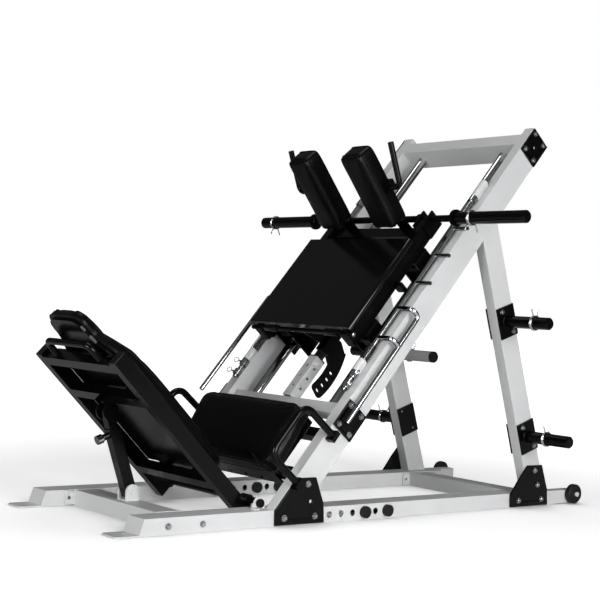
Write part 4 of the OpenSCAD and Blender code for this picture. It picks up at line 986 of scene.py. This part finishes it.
        welts = [ring(*w) for w in self.welts]
        threads = [ring(*self.seam)]
        obj.data = self.refine(obj)
        shop.place(obj, self.body, VINYL, self.node)
        shop.place(shop.wire(self.name + "_welt", welts, self.welt_radius, VINYL, 10), self.body, VINYL)
        sewn = shop.nodes.grow(path_object(self.name + "_seam", threads), shop.nodes.stitch,
                               {"Material": shop.paint.get(THREAD)}, self.name + "_stitches")
        shop.place(sewn, self.body, THREAD)


def rounded_outline(length: float, width: float, power: float) -> list[Spot]:
    """Outline of a pad with rounded corners and slightly drawn-in sides.

    Args:
        length: Full length.
        width: Full width.
        power: Squareness of the corners.

    Returns:
        Length, width and height share of points round it.
    """
    out = []
    steps = 720
    for k in range(steps):
        a = 2 * math.pi * k / steps
        pull = 1 - 0.005 * (1 + math.cos(4 * a))
        c, d = math.cos(a), math.sin(a)
        out.append((pull * length / 2 * math.copysign(abs(c) ** (2 / power), c),
                    pull * width / 2 * math.copysign(abs(d) ** (2 / power), d), 1.0))
    return out


@dataclass
class BackShape:
    """Outline of the back pad along its length, from the pivot.

    Attributes:
        thin_from: Where the head end starts to thin.
        thin_over: Length over which it thins.
        thin_by: Share of the thickness that it loses.
        steps: Points along one side.
    """

    low: float = 116.0
    high: float = 925.0
    wide_at: float = 420.0
    neck_at: float = 830.0
    foot: float = 192.5
    wide: float = 225.0
    head: float = 115.0
    round_end: float = 52.0
    thin_from: float = 714.0
    thin_over: float = 110.0
    thin_by: float = 0.3
    steps: int = 240

    def half(self, t: float) -> float:
        """Half width at a distance along the back."""
        a = max(0.0, min(1.0, (t - self.low) / (self.wide_at - self.low)))
        b = max(0.0, min(1.0, (t - self.wide_at) / (self.neck_at - self.wide_at)))
        spread = (self.wide - self.foot) * math.sin(math.pi / 2 * a) ** 1.3
        return self.foot + spread - (self.wide - self.head) * b ** 3

    def share(self, t: float) -> float:
        """Share of the full thickness at a distance along the back."""
        return 1 - self.thin_by * max(0.0, min(1.0, (t - self.thin_from) / self.thin_over))

    def outline(self) -> list[Spot]:
        """Length, width and height share of points round the pad."""
        mid = (self.low + self.high) / 2
        side = []
        r = self.round_end
        for i in range(self.steps + 1):
            t = self.low + (self.high - self.low) * (0.5 - 0.5 * math.cos(math.pi * i / self.steps))
            e = min(t - self.low, self.high - t)
            cut = 0.0 if e >= r else r - math.sqrt(max(0.0, r * r - (r - e) ** 2))
            side.append((t - mid, self.half(t) - cut, self.share(t)))
        return [(l, -w, q) for l, w, q in side] + list(reversed(side))


@dataclass
class Upholstery:
    """The seat, the back and the shoulder pads.

    Attributes:
        layout: Sizes of the machine.
    """

    layout: Layout
    seat_s: float = 203.0
    seat_n: float = 84.0
    seat_pitch: float = math.radians(7.6)
    seat_size: tuple[float, float, float] = (285.0, 630.0, 62.0)
    shoulder_size: tuple[float, float, float] = (350.0, 128.0, 84.0)
    shoulder_y: float = 165.0
    shoulder_lean: float = math.radians(11.0)
    support_s: float = 1416.0
    support_n: float = 150.0

    def pads(self) -> list[Cushion]:
        """The four pads, placed but not built."""
        lay = self.layout
        es, ey, en = lay.axes(lay.incline)
        c, d = math.cos(self.seat_pitch), math.sin(self.seat_pitch)
        along, up = es * c + en * d, en * c - es * d
        length, width, thick = self.seat_size
        seat_at = lay.incline(self.seat_s, 0, self.seat_n) + (along * length / 2 - up * thick) * MM
        pads = [Cushion("seat_cushion", "seat_pad", Body.FRAME, seat_at, (along, ey, up),
                        rounded_outline(length, width, 7), thick, 10, 1.0, 6.0)]
        ev, _, et = lay.axes(lay.back)
        shape = BackShape()
        back_at = lay.back(3, 0, (shape.low + shape.high) / 2)
        pads.append(Cushion("back_cushion", "backrest_pad", Body.BACK, back_at, (et, ey, ev),
                            shape.outline(), 58, 10, 1.0, 6.0, around=220))
        c, d = math.cos(self.shoulder_lean), math.sin(self.shoulder_lean)
        rise, out = en * c + es * d, -(es * c - en * d)
        length, width, thick = self.shoulder_size
        for side in Side:
            name = side.name.lower() + "_shoulder_"
            foot = lay.incline(self.support_s, side.value * self.shoulder_y, self.support_n)
            at = foot + (rise * length / 2 + out * 0.3) * MM
            pads.append(Cushion(name + "cushion", name + "pad", Body.SLED, at, (rise, ey, out),
                                rounded_outline(length, width, 8), thick, 6, 0.42, 2.0))
        return pads

    def build(self, shop: Shop) -> None:
        """Makes all pads."""
        for pad in self.pads():
            pad.build(shop)


# ---- Wound wire: bumper springs and spring clips


@dataclass
class WoundWire:
    """Bumper springs round the safety rods and spring clips on the sleeves and horns.

    Attributes:
        spring_from: Start of the springs along the beams.
        clip_bend: Places along and beside the end of a clip's coil that its finger tail goes through.
        bar_clips: Distance of each sleeve's clip from that end of the bar, with the sign of Y.
        bar_spin: Angle of the first tail of the sleeves' clips.
        horn_spin: Angle of the first tail of the horns' clips.
    """

    layout: Layout
    spring_from: float = 777.2
    spring_length: float = 78.0
    spring_radius: float = 16.5
    spring_wire: float = 2.0
    spring_turns: int = 7
    clip_radius: float = 28.4
    clip_wire: float = 2.5
    clip_pitch: float = 6.0
    clip_turns: float = 2.125
    clip_bend: tuple[tuple[float, float], ...] = (
        (34.0, 7.0), (22.0, 7.0), (12.0, 6.9), (8.6, 6.6), (5.6, 5.9), (3.2, 4.8), (1.5, 3.4), (0.5, 1.8))
    bar_clips: tuple[tuple[float, int], ...] = ((74.0, -1), (275.0, 1))
    bar_spin: float = math.radians(212.5)
    horn_spin: float = math.radians(49)
    wire_sides: int = 14
    turn_steps: int = 40

    def coil(self, at: Vector, axes: Axes, radius: float, pitch: float, turns: float) -> list[Vector]:
        """Points of a coil.

        Args:
            at: Middle of its first turn, in metres.
            axes: Directions of its start, of a quarter turn on and of its axis.
            radius: Mean radius in millimetres.
            pitch: Rise per turn in millimetres.
            turns: Number of turns.

        Returns:
            The points.
        """
        side, other, along = axes
        steps = round(turns * self.turn_steps)
        out = []
        for i in range(steps + 1):
            a = 2 * math.pi * i * turns / steps
            around = side * math.cos(a) * radius + other * math.sin(a) * radius
            out.append(at + (around + along * pitch * a / (2 * math.pi)) * MM)
        return out

    def clip(self, at: Vector, axes: Axes, spin: float) -> Path:
        """Path of a clip with its two finger tails.

        Args:
            at: Middle of its first turn, in metres.
            axes: Two directions square to the sleeve, and the direction of the sleeve.
            spin: Angle of the first tail from the first direction.

        Returns:
            The points, as an open path.
        """
        across, up, along = axes

        def turned(x: float, y: float, a: float) -> Vector:
            """Place square to the sleeve, turned by an angle."""
            c, d = math.cos(a), math.sin(a)
            return (across * (x * c - y * d) + up * (x * d + y * c)) * MM

        side = across * math.cos(spin) + up * math.sin(spin)
        other = -across * math.sin(spin) + up * math.cos(spin)
        ring = self.coil(at, (side, other, along), self.clip_radius, self.clip_pitch, self.clip_turns)
        last = spin + 2 * math.pi * self.clip_turns
        start = [ring[0] + turned(x, -y, spin) for x, y in self.clip_bend]
        end = [ring[-1] + turned(x, y, last) for x, y in reversed(self.clip_bend)]
        return start + ring + end, False

    def build(self, shop: Shop) -> None:
        """Makes the springs and the clips."""
        lay = self.layout
        es, ey, en = lay.axes(lay.incline)
        pitch = self.spring_length / self.spring_turns
        for side in Side:
            at = lay.incline(self.spring_from, side.value * lay.rod_y, lay.rod_n)
            path = self.coil(at, (en, ey * side.value, es), self.spring_radius, pitch, self.spring_turns)
            name = side.name.lower() + "_bumper_spring"
            wire = shop.wire(name + "_wire", [(path, False)], self.spring_wire, SPRING, self.wire_sides)
            shop.place(wire, Body.FRAME, SPRING, name)
        spin = lay.beam_angle - self.bar_spin
        paths = []
        for out, s in self.bar_clips:
            at = lay.incline(lay.bar_s, s * (lay.bar_half + out), lay.bar_n)
            paths.append(self.clip(at, (es, en, ey * s), spin))
        wires = shop.wire("sleeve_clip_wires", paths, self.clip_wire, CHROME, self.wire_sides)
        shop.place(wires, Body.SLED, CHROME, "sleeve_clips")
        ex, _, ez = lay.axes(lay.leg)
        spots = [(-lay.half - 148, lay.upper_horn, -1), (-lay.half - 104, lay.lower_horn, -1),
                 (lay.half + 104, lay.lower_horn, 1), (lay.half - lay.beam_width - 110, lay.middle_horn, 1)]
        paths = [self.clip(lay.leg(0, y, z), (ex, ez, ey * s), self.horn_spin) for y, z, s in spots]
        wires = shop.wire("storage_clip_wires", paths, self.clip_wire, CHROME, self.wire_sides)
        shop.place(wires, Body.FRAME, CHROME, "storage_clips")


# ---- Fasteners and welds


@dataclass
class Fasteners:
    """Hexagon bolts of the frame and the weld beads of its joints.

    Attributes:
        flange_edge: Distance of the bolts of a cross tube's flange from its ends.
        front_cross: Front face of the front cross tube.
        rear_cross: Front face of the rear cross tube.
        beam_plates: Lower ends of the plates on the beams.
        guide_ends: Places of the guide tubes' ends along the beams.
        guide_at: Distance of the guide tubes from the middle, and their height above the beams.
        top_cross: Lower and upper face of the top cross tube along the beams.
        bolt_turn: Angle of each bolt past the one before it.
    """

    layout: Layout
    flange_edge: float = 18.0
    flange_length: float = 180.0
    front_cross: float = 112.0
    rear_cross: float = 1876.0
    cross_width: float = 100.0
    beam_plates: tuple[float, float] = (481.0, 1968.0)
    guide_ends: tuple[float, float] = (595.0, 1998.0)
    guide_at: tuple[float, float] = (246.0, -55.0)
    guide_weld: float = 19.6
    top_cross: tuple[float, float] = (1998.0, 2058.0)
    bar_weld: float = 15.0
    bar_weld_inset: float = 10.0
    horn_weld: float = 26.0
    bead: float = 2.6
    bolt_turn: float = 0.31

    def spots(self) -> list[tuple[Vector, int]]:
        """Seats of the bolts on the outer faces, with the sign of Y that each looks along."""
        lay = self.layout
        out: list[tuple[Vector, int]] = []
        face, mid = lay.half + lay.plate, lay.rail_height / 2

        def top(z: float) -> float:
            """Place of the beams' top line at a height."""
            return lay.incline_x + z / math.tan(lay.beam_angle)

        def leg(z: float) -> float:
            """Place of the legs' middle line at a height."""
            return lay.leg_x - z * math.tan(lay.leg_lean)

        gussets = ((top(150) + 72, 150), (top(25) + 72, mid), (top(25) + 216, mid),
                   (leg(156) + 5, 154), (leg(89) + 3, 92))
        for s in (-1, 1):
            for step in (self.flange_edge, self.flange_length - self.flange_edge):
                along = (self.cross_width - self.flange_length) / 2 + step
                out.append((lay.floor(self.front_cross + along, s * lay.half, mid), s))
                out.append((lay.floor(self.rear_cross + along, s * face, mid), s))
            out.extend((lay.floor(x, s * face, z), s) for x, z in gussets)
            out.extend((lay.incline(low + a, s * face, n), s)
                       for low in self.beam_plates for a in (17, 105) for n in (-17.0, -85.0))
        for z, s in ((lay.upper_horn, -1), (lay.lower_horn, -1), (lay.lower_horn, 1)):
            out.extend((lay.leg(-k * 24, s * face, z + k * 48), s) for k in (-1, 1))
        return out

    def bolts(self, shop: Shop) -> None:
        """Sets a bolt on every seat."""
        spots = self.spots()
        mesh = bpy.data.meshes.new("bolt_seats")
        mesh.from_pydata([tuple(p) for p, _ in spots], [], [])
        turn = mesh.attributes.new("turn", "FLOAT_VECTOR", "POINT")
        for i, (_, s) in enumerate(spots):
            turn.data[i].vector = (-s * math.pi / 2, self.bolt_turn * i, 0.0)
        seats = new_object("bolt_seats", mesh)
        obj = shop.nodes.grow(seats, shop.nodes.bolt, {"Material": shop.paint.get(ZINC)}, "hexagon_bolts")
        shop.place(obj, Body.FRAME, ZINC, "frame_bolts")

    def welds(self, shop: Shop) -> None:
        """Lays beads where tubes meet plates."""
        lay = self.layout
        es, ey, en = lay.axes(lay.incline)
        ex, _, ez = lay.axes(lay.leg)
        white, black, sled = [], [], []
        high, wide = lay.rail_height, self.cross_width
        guide_y, guide_n = self.guide_at
        for s in (-1, 1):
            for at in self.guide_ends:
                white.append(circle(lay.incline(at, s * guide_y, guide_n), ey, en, self.guide_weld))
            y = s * (lay.half - lay.rail_width - lay.plate)
            for x in (self.front_cross, self.rear_cross):
                white.append(([lay.floor(x, y, high), lay.floor(x + wide, y, high)], False))
                for side in (0, wide):
                    white.append(([lay.floor(x + side, y, 4), lay.floor(x + side, y, high)], False))
            y = s * (lay.half - lay.beam_width)
            for cut in self.top_cross:
                white.append(([lay.incline(cut, y, 0), lay.incline(cut, y, -wide)], False))
            end = lay.incline(lay.bar_s, s * (lay.bar_half - self.bar_weld_inset), lay.bar_n)
            sled.append(circle(end, es, en, self.bar_weld))
        face = lay.half + lay.plate
        for y, z in ((-face, lay.upper_horn), (-face, lay.lower_horn), (face, lay.lower_horn),
                     (lay.half, lay.middle_horn)):
            black.append(circle(lay.leg(0, y, z), ex, ez, self.horn_weld))
        for name, paths, body, finish in (
                ("white_weld_beads", white, Body.FRAME, WHITE_COAT),
                ("black_weld_beads", black, Body.FRAME, BLACK_COAT),
                ("bar_weld_beads", sled, Body.SLED, BLACK_COAT)):
            obj = shop.nodes.grow(path_object(name + "_path", paths), shop.nodes.bead,
                                  {"Radius": self.bead * MM, "Material": shop.paint.get(finish)}, name)
            shop.place(obj, body, finish)

    def build(self, shop: Shop) -> None:
        """Makes bolts and welds."""
        self.bolts(shop)
        self.welds(shop)


# ---- Plugs, screws and other fittings


@dataclass
class Fittings:
    """Plastic plugs in open tube ends, hinge screws and ring screws.

    Attributes:
        screw_rise: Angle of the ring screws above the machine's width.
        screw_places: Places of the ring screws along the beams.
        stud: Distance out from the collar and radius along a ring screw's stud.
        axle_head: Distance out and radius along a head of the footplate's axle.
        horn_plug: Distance out and radius along the plug of the middle horn.
        rail_plug: Size of the plugs in the rails, along, across and up.
        sled_plug: Size of the plugs in the sled's members, along, across and above the beams.
        back_plug: Size of the plugs in the back's members, before, across and along the back.
    """

    layout: Layout
    screw_rise: float = math.radians(21.6)
    screw_places: tuple[float, float] = (649.0, 703.0)
    collar: float = 16.0
    ring_out: float = 43.0
    ring_radius: float = 11.0
    ring_wire: float = 1.8
    stud: tuple[tuple[float, float], ...] = ((0, 5), (6, 5), (7, 3.2), (16, 3.2))
    axle_head: tuple[tuple[float, float], ...] = ((-1, 8.4), (4, 8.4), (6, 7.2), (7, 5))
    axle_end: tuple[float, float, float] = (831.0, 316.0, 104.0)
    horn_plug: tuple[tuple[float, float], ...] = ((-1, 25.4), (9, 25.4), (12, 23.5), (13, 18))
    horn_end: float = 90.0
    rail_plug: Spot = (12.0, 44.0, 54.0)
    rail_plug_y: float = 314.5
    sled_plug: Spot = (8.0, 38.0, 68.0)
    sled_plug_at: Spot = (820.0, 270.0, 78.0)
    back_plug: Spot = (55.0, 39.0, 6.0)
    back_plug_at: Spot = (-37.0, 258.0, 774.0)

    def pair(self, spot: Callable[..., Vector], at: Spot, size: Spot, bevel: float) -> list[BMesh]:
        """Two blocks, one on each side.

        Args:
            spot: One of the layout's placing methods.
            at: Middle of the left block.
            size: Size of a block.
            bevel: Rounding of its edges.

        Returns:
            Their meshes.
        """
        along, out, up = at
        axes = self.layout.axes(spot)
        return [block(spot(along, s * out, up), axes, size, bevel) for s in (-1, 1)]

    def plugs(self, shop: Shop) -> None:
        """Closes the open tube ends."""
        lay = self.layout
        end = (lay.rail_length - 2, self.rail_plug_y, lay.rail_height / 2)
        parts = self.pair(lay.floor, end, self.rail_plug, 2.5)
        parts.append(lathe(lay.leg(0, self.horn_end, lay.middle_horn), Vector((0, -1, 0)), self.horn_plug))
        shop.place(gather("frame_plugs", parts), Body.FRAME, RUBBER)
        parts = self.pair(lay.incline, self.sled_plug_at, self.sled_plug, 2.0)
        shop.place(gather("sled_plugs", parts), Body.SLED, RUBBER)
        parts = self.pair(lay.back, self.back_plug_at, self.back_plug, 1.5)
        shop.place(gather("back_plugs", parts), Body.BACK, RUBBER)

    def ring_screws(self, shop: Shop) -> None:
        """Ring screws on the lower collars of the safety rods."""
        lay = self.layout
        es, ey, en = lay.axes(lay.incline)
        for side, body in ((Side.RIGHT, Body.RIGHT_SAFETY), (Side.LEFT, Body.LEFT_SAFETY)):
            parts, rings = [], []
            out = ey * side.value * math.cos(self.screw_rise) + en * math.sin(self.screw_rise)
            for s in self.screw_places:
                foot = lay.incline(s, side.value * lay.rod_y, lay.rod_n)
                parts.append(lathe(foot + out * self.collar * MM, out, self.stud, 20))
                rings.append(circle(foot + out * self.ring_out * MM, out, es, self.ring_radius, 40))
            name = side.name.lower()
            shop.place(gather(name + "_screw_studs", parts), body, CHROME)
            shop.place(shop.wire(name + "_screw_rings", rings, self.ring_wire, CHROME, 10), body, CHROME)

    def hinge_screws(self, shop: Shop) -> None:
        """Plated screw heads on the ends of the footplate's axle."""
        along, out, above = self.axle_end
        parts = [lathe(self.layout.incline(along, s * out, above), Vector((0, s, 0)), self.axle_head, 24)
                 for s in (-1, 1)]
        shop.place(gather("hinge_screws", parts), Body.SLED, ZINC)

    def build(self, shop: Shop) -> None:
        """Makes plugs and screws."""
        self.plugs(shop)
        self.hinge_screws(shop)
        self.ring_screws(shop)


# ---- CAD nodes, stage and camera


@dataclass
class FrameDress:
    """Finishes and softened edges of the carried-over CAD nodes.

    Attributes:
        finishes: Finishes by whose slots the nodes are painted.
        edges: Nodes whose edges are rounded.
        edge: Rounding of the edges, in metres.
        join: Distance within which points are joined first, in metres.
    """

    finishes: tuple[Finish, ...] = (WHITE_COAT, BLACK_COAT, GREY_COAT, CHROME, ZINC, VINYL, RUBBER, BOARD)
    edges: tuple[str, ...] = (
        "right_base_rail", "left_base_rail", "front_crossbeam", "rear_crossbeam", "right_front_foot",
        "left_front_foot", "right_incline_beam", "left_incline_beam", "top_crossbeam", "lower_crossmember",
        "right_rear_leg", "left_rear_leg", "right_front_gusset", "left_front_gusset", "right_rear_gusset",
        "left_rear_gusset", "beam_plates", "stop_post", "seat_frame", "sled_frame", "footplate",
        "tilt_quadrant", "backrest_frame", "strut_outer", "strut_inner", "strut_bracket",
        "backrest_brackets", "right_wheel", "left_wheel")
    edge: float = 0.0016
    join: float = 0.00002

    def build(self, shop: Shop) -> None:
        """Paints every node and rounds the edges of the square ones."""
        by_slot = {f.slot: f for f in self.finishes}
        slots = {p["node"]: p["material_slot"] for p in frame["record"]["subparts"]}
        for name, obj in frame["nodes"].items():
            mat = shop.paint.get(by_slot[slots[name]])
            if not obj.material_slots:
                obj.data.materials.append(mat)
            for part in obj.material_slots:
                part.material = mat
        for name in self.edges:
            obj = frame["nodes"][name]
            weld = obj.modifiers.new("weld", "WELD")
            weld.merge_threshold = self.join
            soft = obj.modifiers.new("soft_edges", "BEVEL")
            soft.width = self.edge
            soft.segments = 2
            soft.limit_method = "ANGLE"
            soft.angle_limit = math.radians(50)
            soft.use_clamp_overlap = True
            soft.harden_normals = False


@dataclass
class Studio:
    """Floor, light and camera.

    Attributes:
        azimuth: Turn of the camera about the vertical.
        elevation: Angle by which it looks down.
        roll: Turn about its own axis.
        eye: Where it stands, in millimetres along the rails, across and up.
        floor_half: Half of the floor's side, in metres.
        floor_gap: Depth of the floor under the feet, in metres.
    """

    azimuth: float = math.radians(-38.93)
    elevation: float = math.radians(0.03)
    roll: float = math.radians(3.02)
    eye: Spot = (-2463.75, -4151.47, 798.78)
    lens: float = 80.12
    sensor: float = 36.0
    shift: tuple[float, float] = (0.0152, 0.0114)
    floor_half: float = 60.0
    floor_gap: float = 0.0006

    def camera(self, lay: Layout) -> None:
        """Puts the camera where the photograph was taken."""
        ca, sa = math.cos(self.azimuth), math.sin(self.azimuth)
        ce, se = math.cos(self.elevation), math.sin(self.elevation)
        right, back = Vector((ca, sa, 0)), Vector((sa * ce, -ca * ce, se))
        up = back.cross(right)
        cq, sq = math.cos(self.roll), math.sin(self.roll)
        x, y = right * cq + up * sq, up * cq - right * sq
        cam = bpy.data.cameras.new("camera")
        cam.lens, cam.sensor_width = self.lens, self.sensor
        cam.shift_x, cam.shift_y = self.shift
        cam.clip_end = 200.0
        obj = new_object("camera", cam)
        turn = Matrix((x, y, back)).transposed().to_4x4()
        obj.matrix_world = Matrix.Translation(lay.floor(*self.eye)) @ turn
        bpy.context.scene.camera = obj

    def seen(self, sheet: Sheet) -> Socket:
        """Mask of the rays that the camera sees, also through clear pieces."""
        path = sheet.add("ShaderNodeLightPath")
        return sheet.calc("MAXIMUM", path.outputs["Is Camera Ray"], path.outputs["Is Transmission Ray"])

    def sky(self) -> None:
        """World that is white to the camera and a dim dome to the pieces."""
        world = bpy.data.worlds.new("studio")
        bpy.context.scene.world = world
        world.use_nodes = True
        sheet = Sheet(world.node_tree)
        world.node_tree.nodes.clear()
        white = sheet.add("ShaderNodeBackground", {"Color": (1, 1, 1, 1), "Strength": 1.0})
        way = sheet.add("ShaderNodeTexCoord").outputs["Generated"]
        height = sheet.add("ShaderNodeSeparateXYZ", {"Vector": way}).outputs[2]
        dome = sheet.add("ShaderNodeBackground", {
            "Color": (1, 1, 1, 1), "Strength": sheet.ramp(height, -0.2, 0.9, 0.06, 0.10)})
        mix = sheet.add("ShaderNodeMixShader", {0: self.seen(sheet), 1: dome.outputs[0], 2: white.outputs[0]})
        sheet.add("ShaderNodeOutputWorld", {"Surface": mix.outputs[0]})

    def floor(self) -> None:
        """Pale floor that fades to white, keeps the lamps' shadow and has a painted contact shadow around the
        pieces.
        """
        far = self.floor_half
        mesh = bpy.data.meshes.new("floor")
        mesh.from_pydata([(-far, -far, 0), (far, -far, 0), (far, far, 0), (-far, far, 0)], [], [(0, 1, 2, 3)])
        floor = new_object("floor", mesh)
        floor.location.z = -self.floor_gap
        mat = bpy.data.materials.new("studio_floor")
        mat.use_nodes = True
        sheet = Sheet(mat.node_tree)
        skin = mat.node_tree.nodes["Principled BSDF"]
        skin.inputs["Base Color"].default_value = (0.80, 0.80, 0.80, 1)
        skin.inputs["Roughness"].default_value = 0.85
        skin.inputs["Emission Color"].default_value = (1, 1, 1, 1)
        away = sheet.add("ShaderNodeVectorMath", {0: sheet.place()}, operation="LENGTH").outputs["Value"]
        # Painted shadow: the emission is lowered where an ambient occlusion node finds pieces close by, which
        # gives soft contact shadows under the rails and feet
        painted_contact_shadow_ao = sheet.add("ShaderNodeAmbientOcclusion", {"Distance": 0.17}, samples=12).outputs["AO"]
        rise, shade = sheet.ramp(away, 1.5, 4.0, 0.52, 1.1), sheet.ramp(painted_contact_shadow_ao, 0.45, 0.98, 0.12)
        lift = sheet.calc("MULTIPLY", rise, shade)
        sheet.link(sheet.calc("MULTIPLY", self.seen(sheet), lift), skin.inputs["Emission Strength"])
        mesh.materials.append(mat)

    def lamp(self, name: str, at: Spot, aim: Spot, size: float, power: float, spread: float = 180.0) -> None:
        """Adds a soft box.

        Args:
            name: Name of the lamp.
            at: Where it stands.
            aim: Where it looks.
            size: Its side length.
            power: Its power in watts.
            spread: Angle of its beam in degrees.
        """
        data = bpy.data.lights.new(name, "AREA")
        data.shape = "SQUARE"
        data.size = size
        data.energy = power
        data.spread = math.radians(spread)
        obj = new_object(name, data)
        obj.location = at
        obj.rotation_euler = (Vector(aim) - Vector(at)).to_track_quat("-Z", "Y").to_euler()

    def build(self, shop: Shop) -> None:
        """Sets up the studio."""
        bpy.context.scene.view_settings.view_transform = "Standard"
        self.camera(shop.layout)
        self.sky()
        self.floor()
        self.lamp("key", (-0.8, -7.5, 2.2), (0.1, 0, 0.6), 4.4, 480.0)
        self.lamp("left", (-6.5, -1.5, 1.3), (0, 0, 0.5), 2.0, 215.0)
        self.lamp("top", (0.2, 0.6, 6.0), (0, 0, 0.6), 2.4, 58.0)
        self.lamp("low", (-1.8, -6.0, 1.2), (-0.1, 0, -0.12), 0.8, 3.6, 34.0)


def main() -> None:
    """Builds the whole visual model."""
    logging.basicConfig(level=logging.INFO, format="%(name)s: %(message)s")
    layout = Layout(mid_x=-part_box("right_base_rail")[0][0] / MM)
    shop = Shop(layout, Paintbox(), NodeKit())
    Studio().build(shop)
    FrameDress().build(shop)
    Upholstery(layout).build(shop)
    WoundWire(layout).build(shop)
    Fasteners(layout).build(shop)
    Fittings(layout).build(shop)


if __name__ == "__main__":
    main()
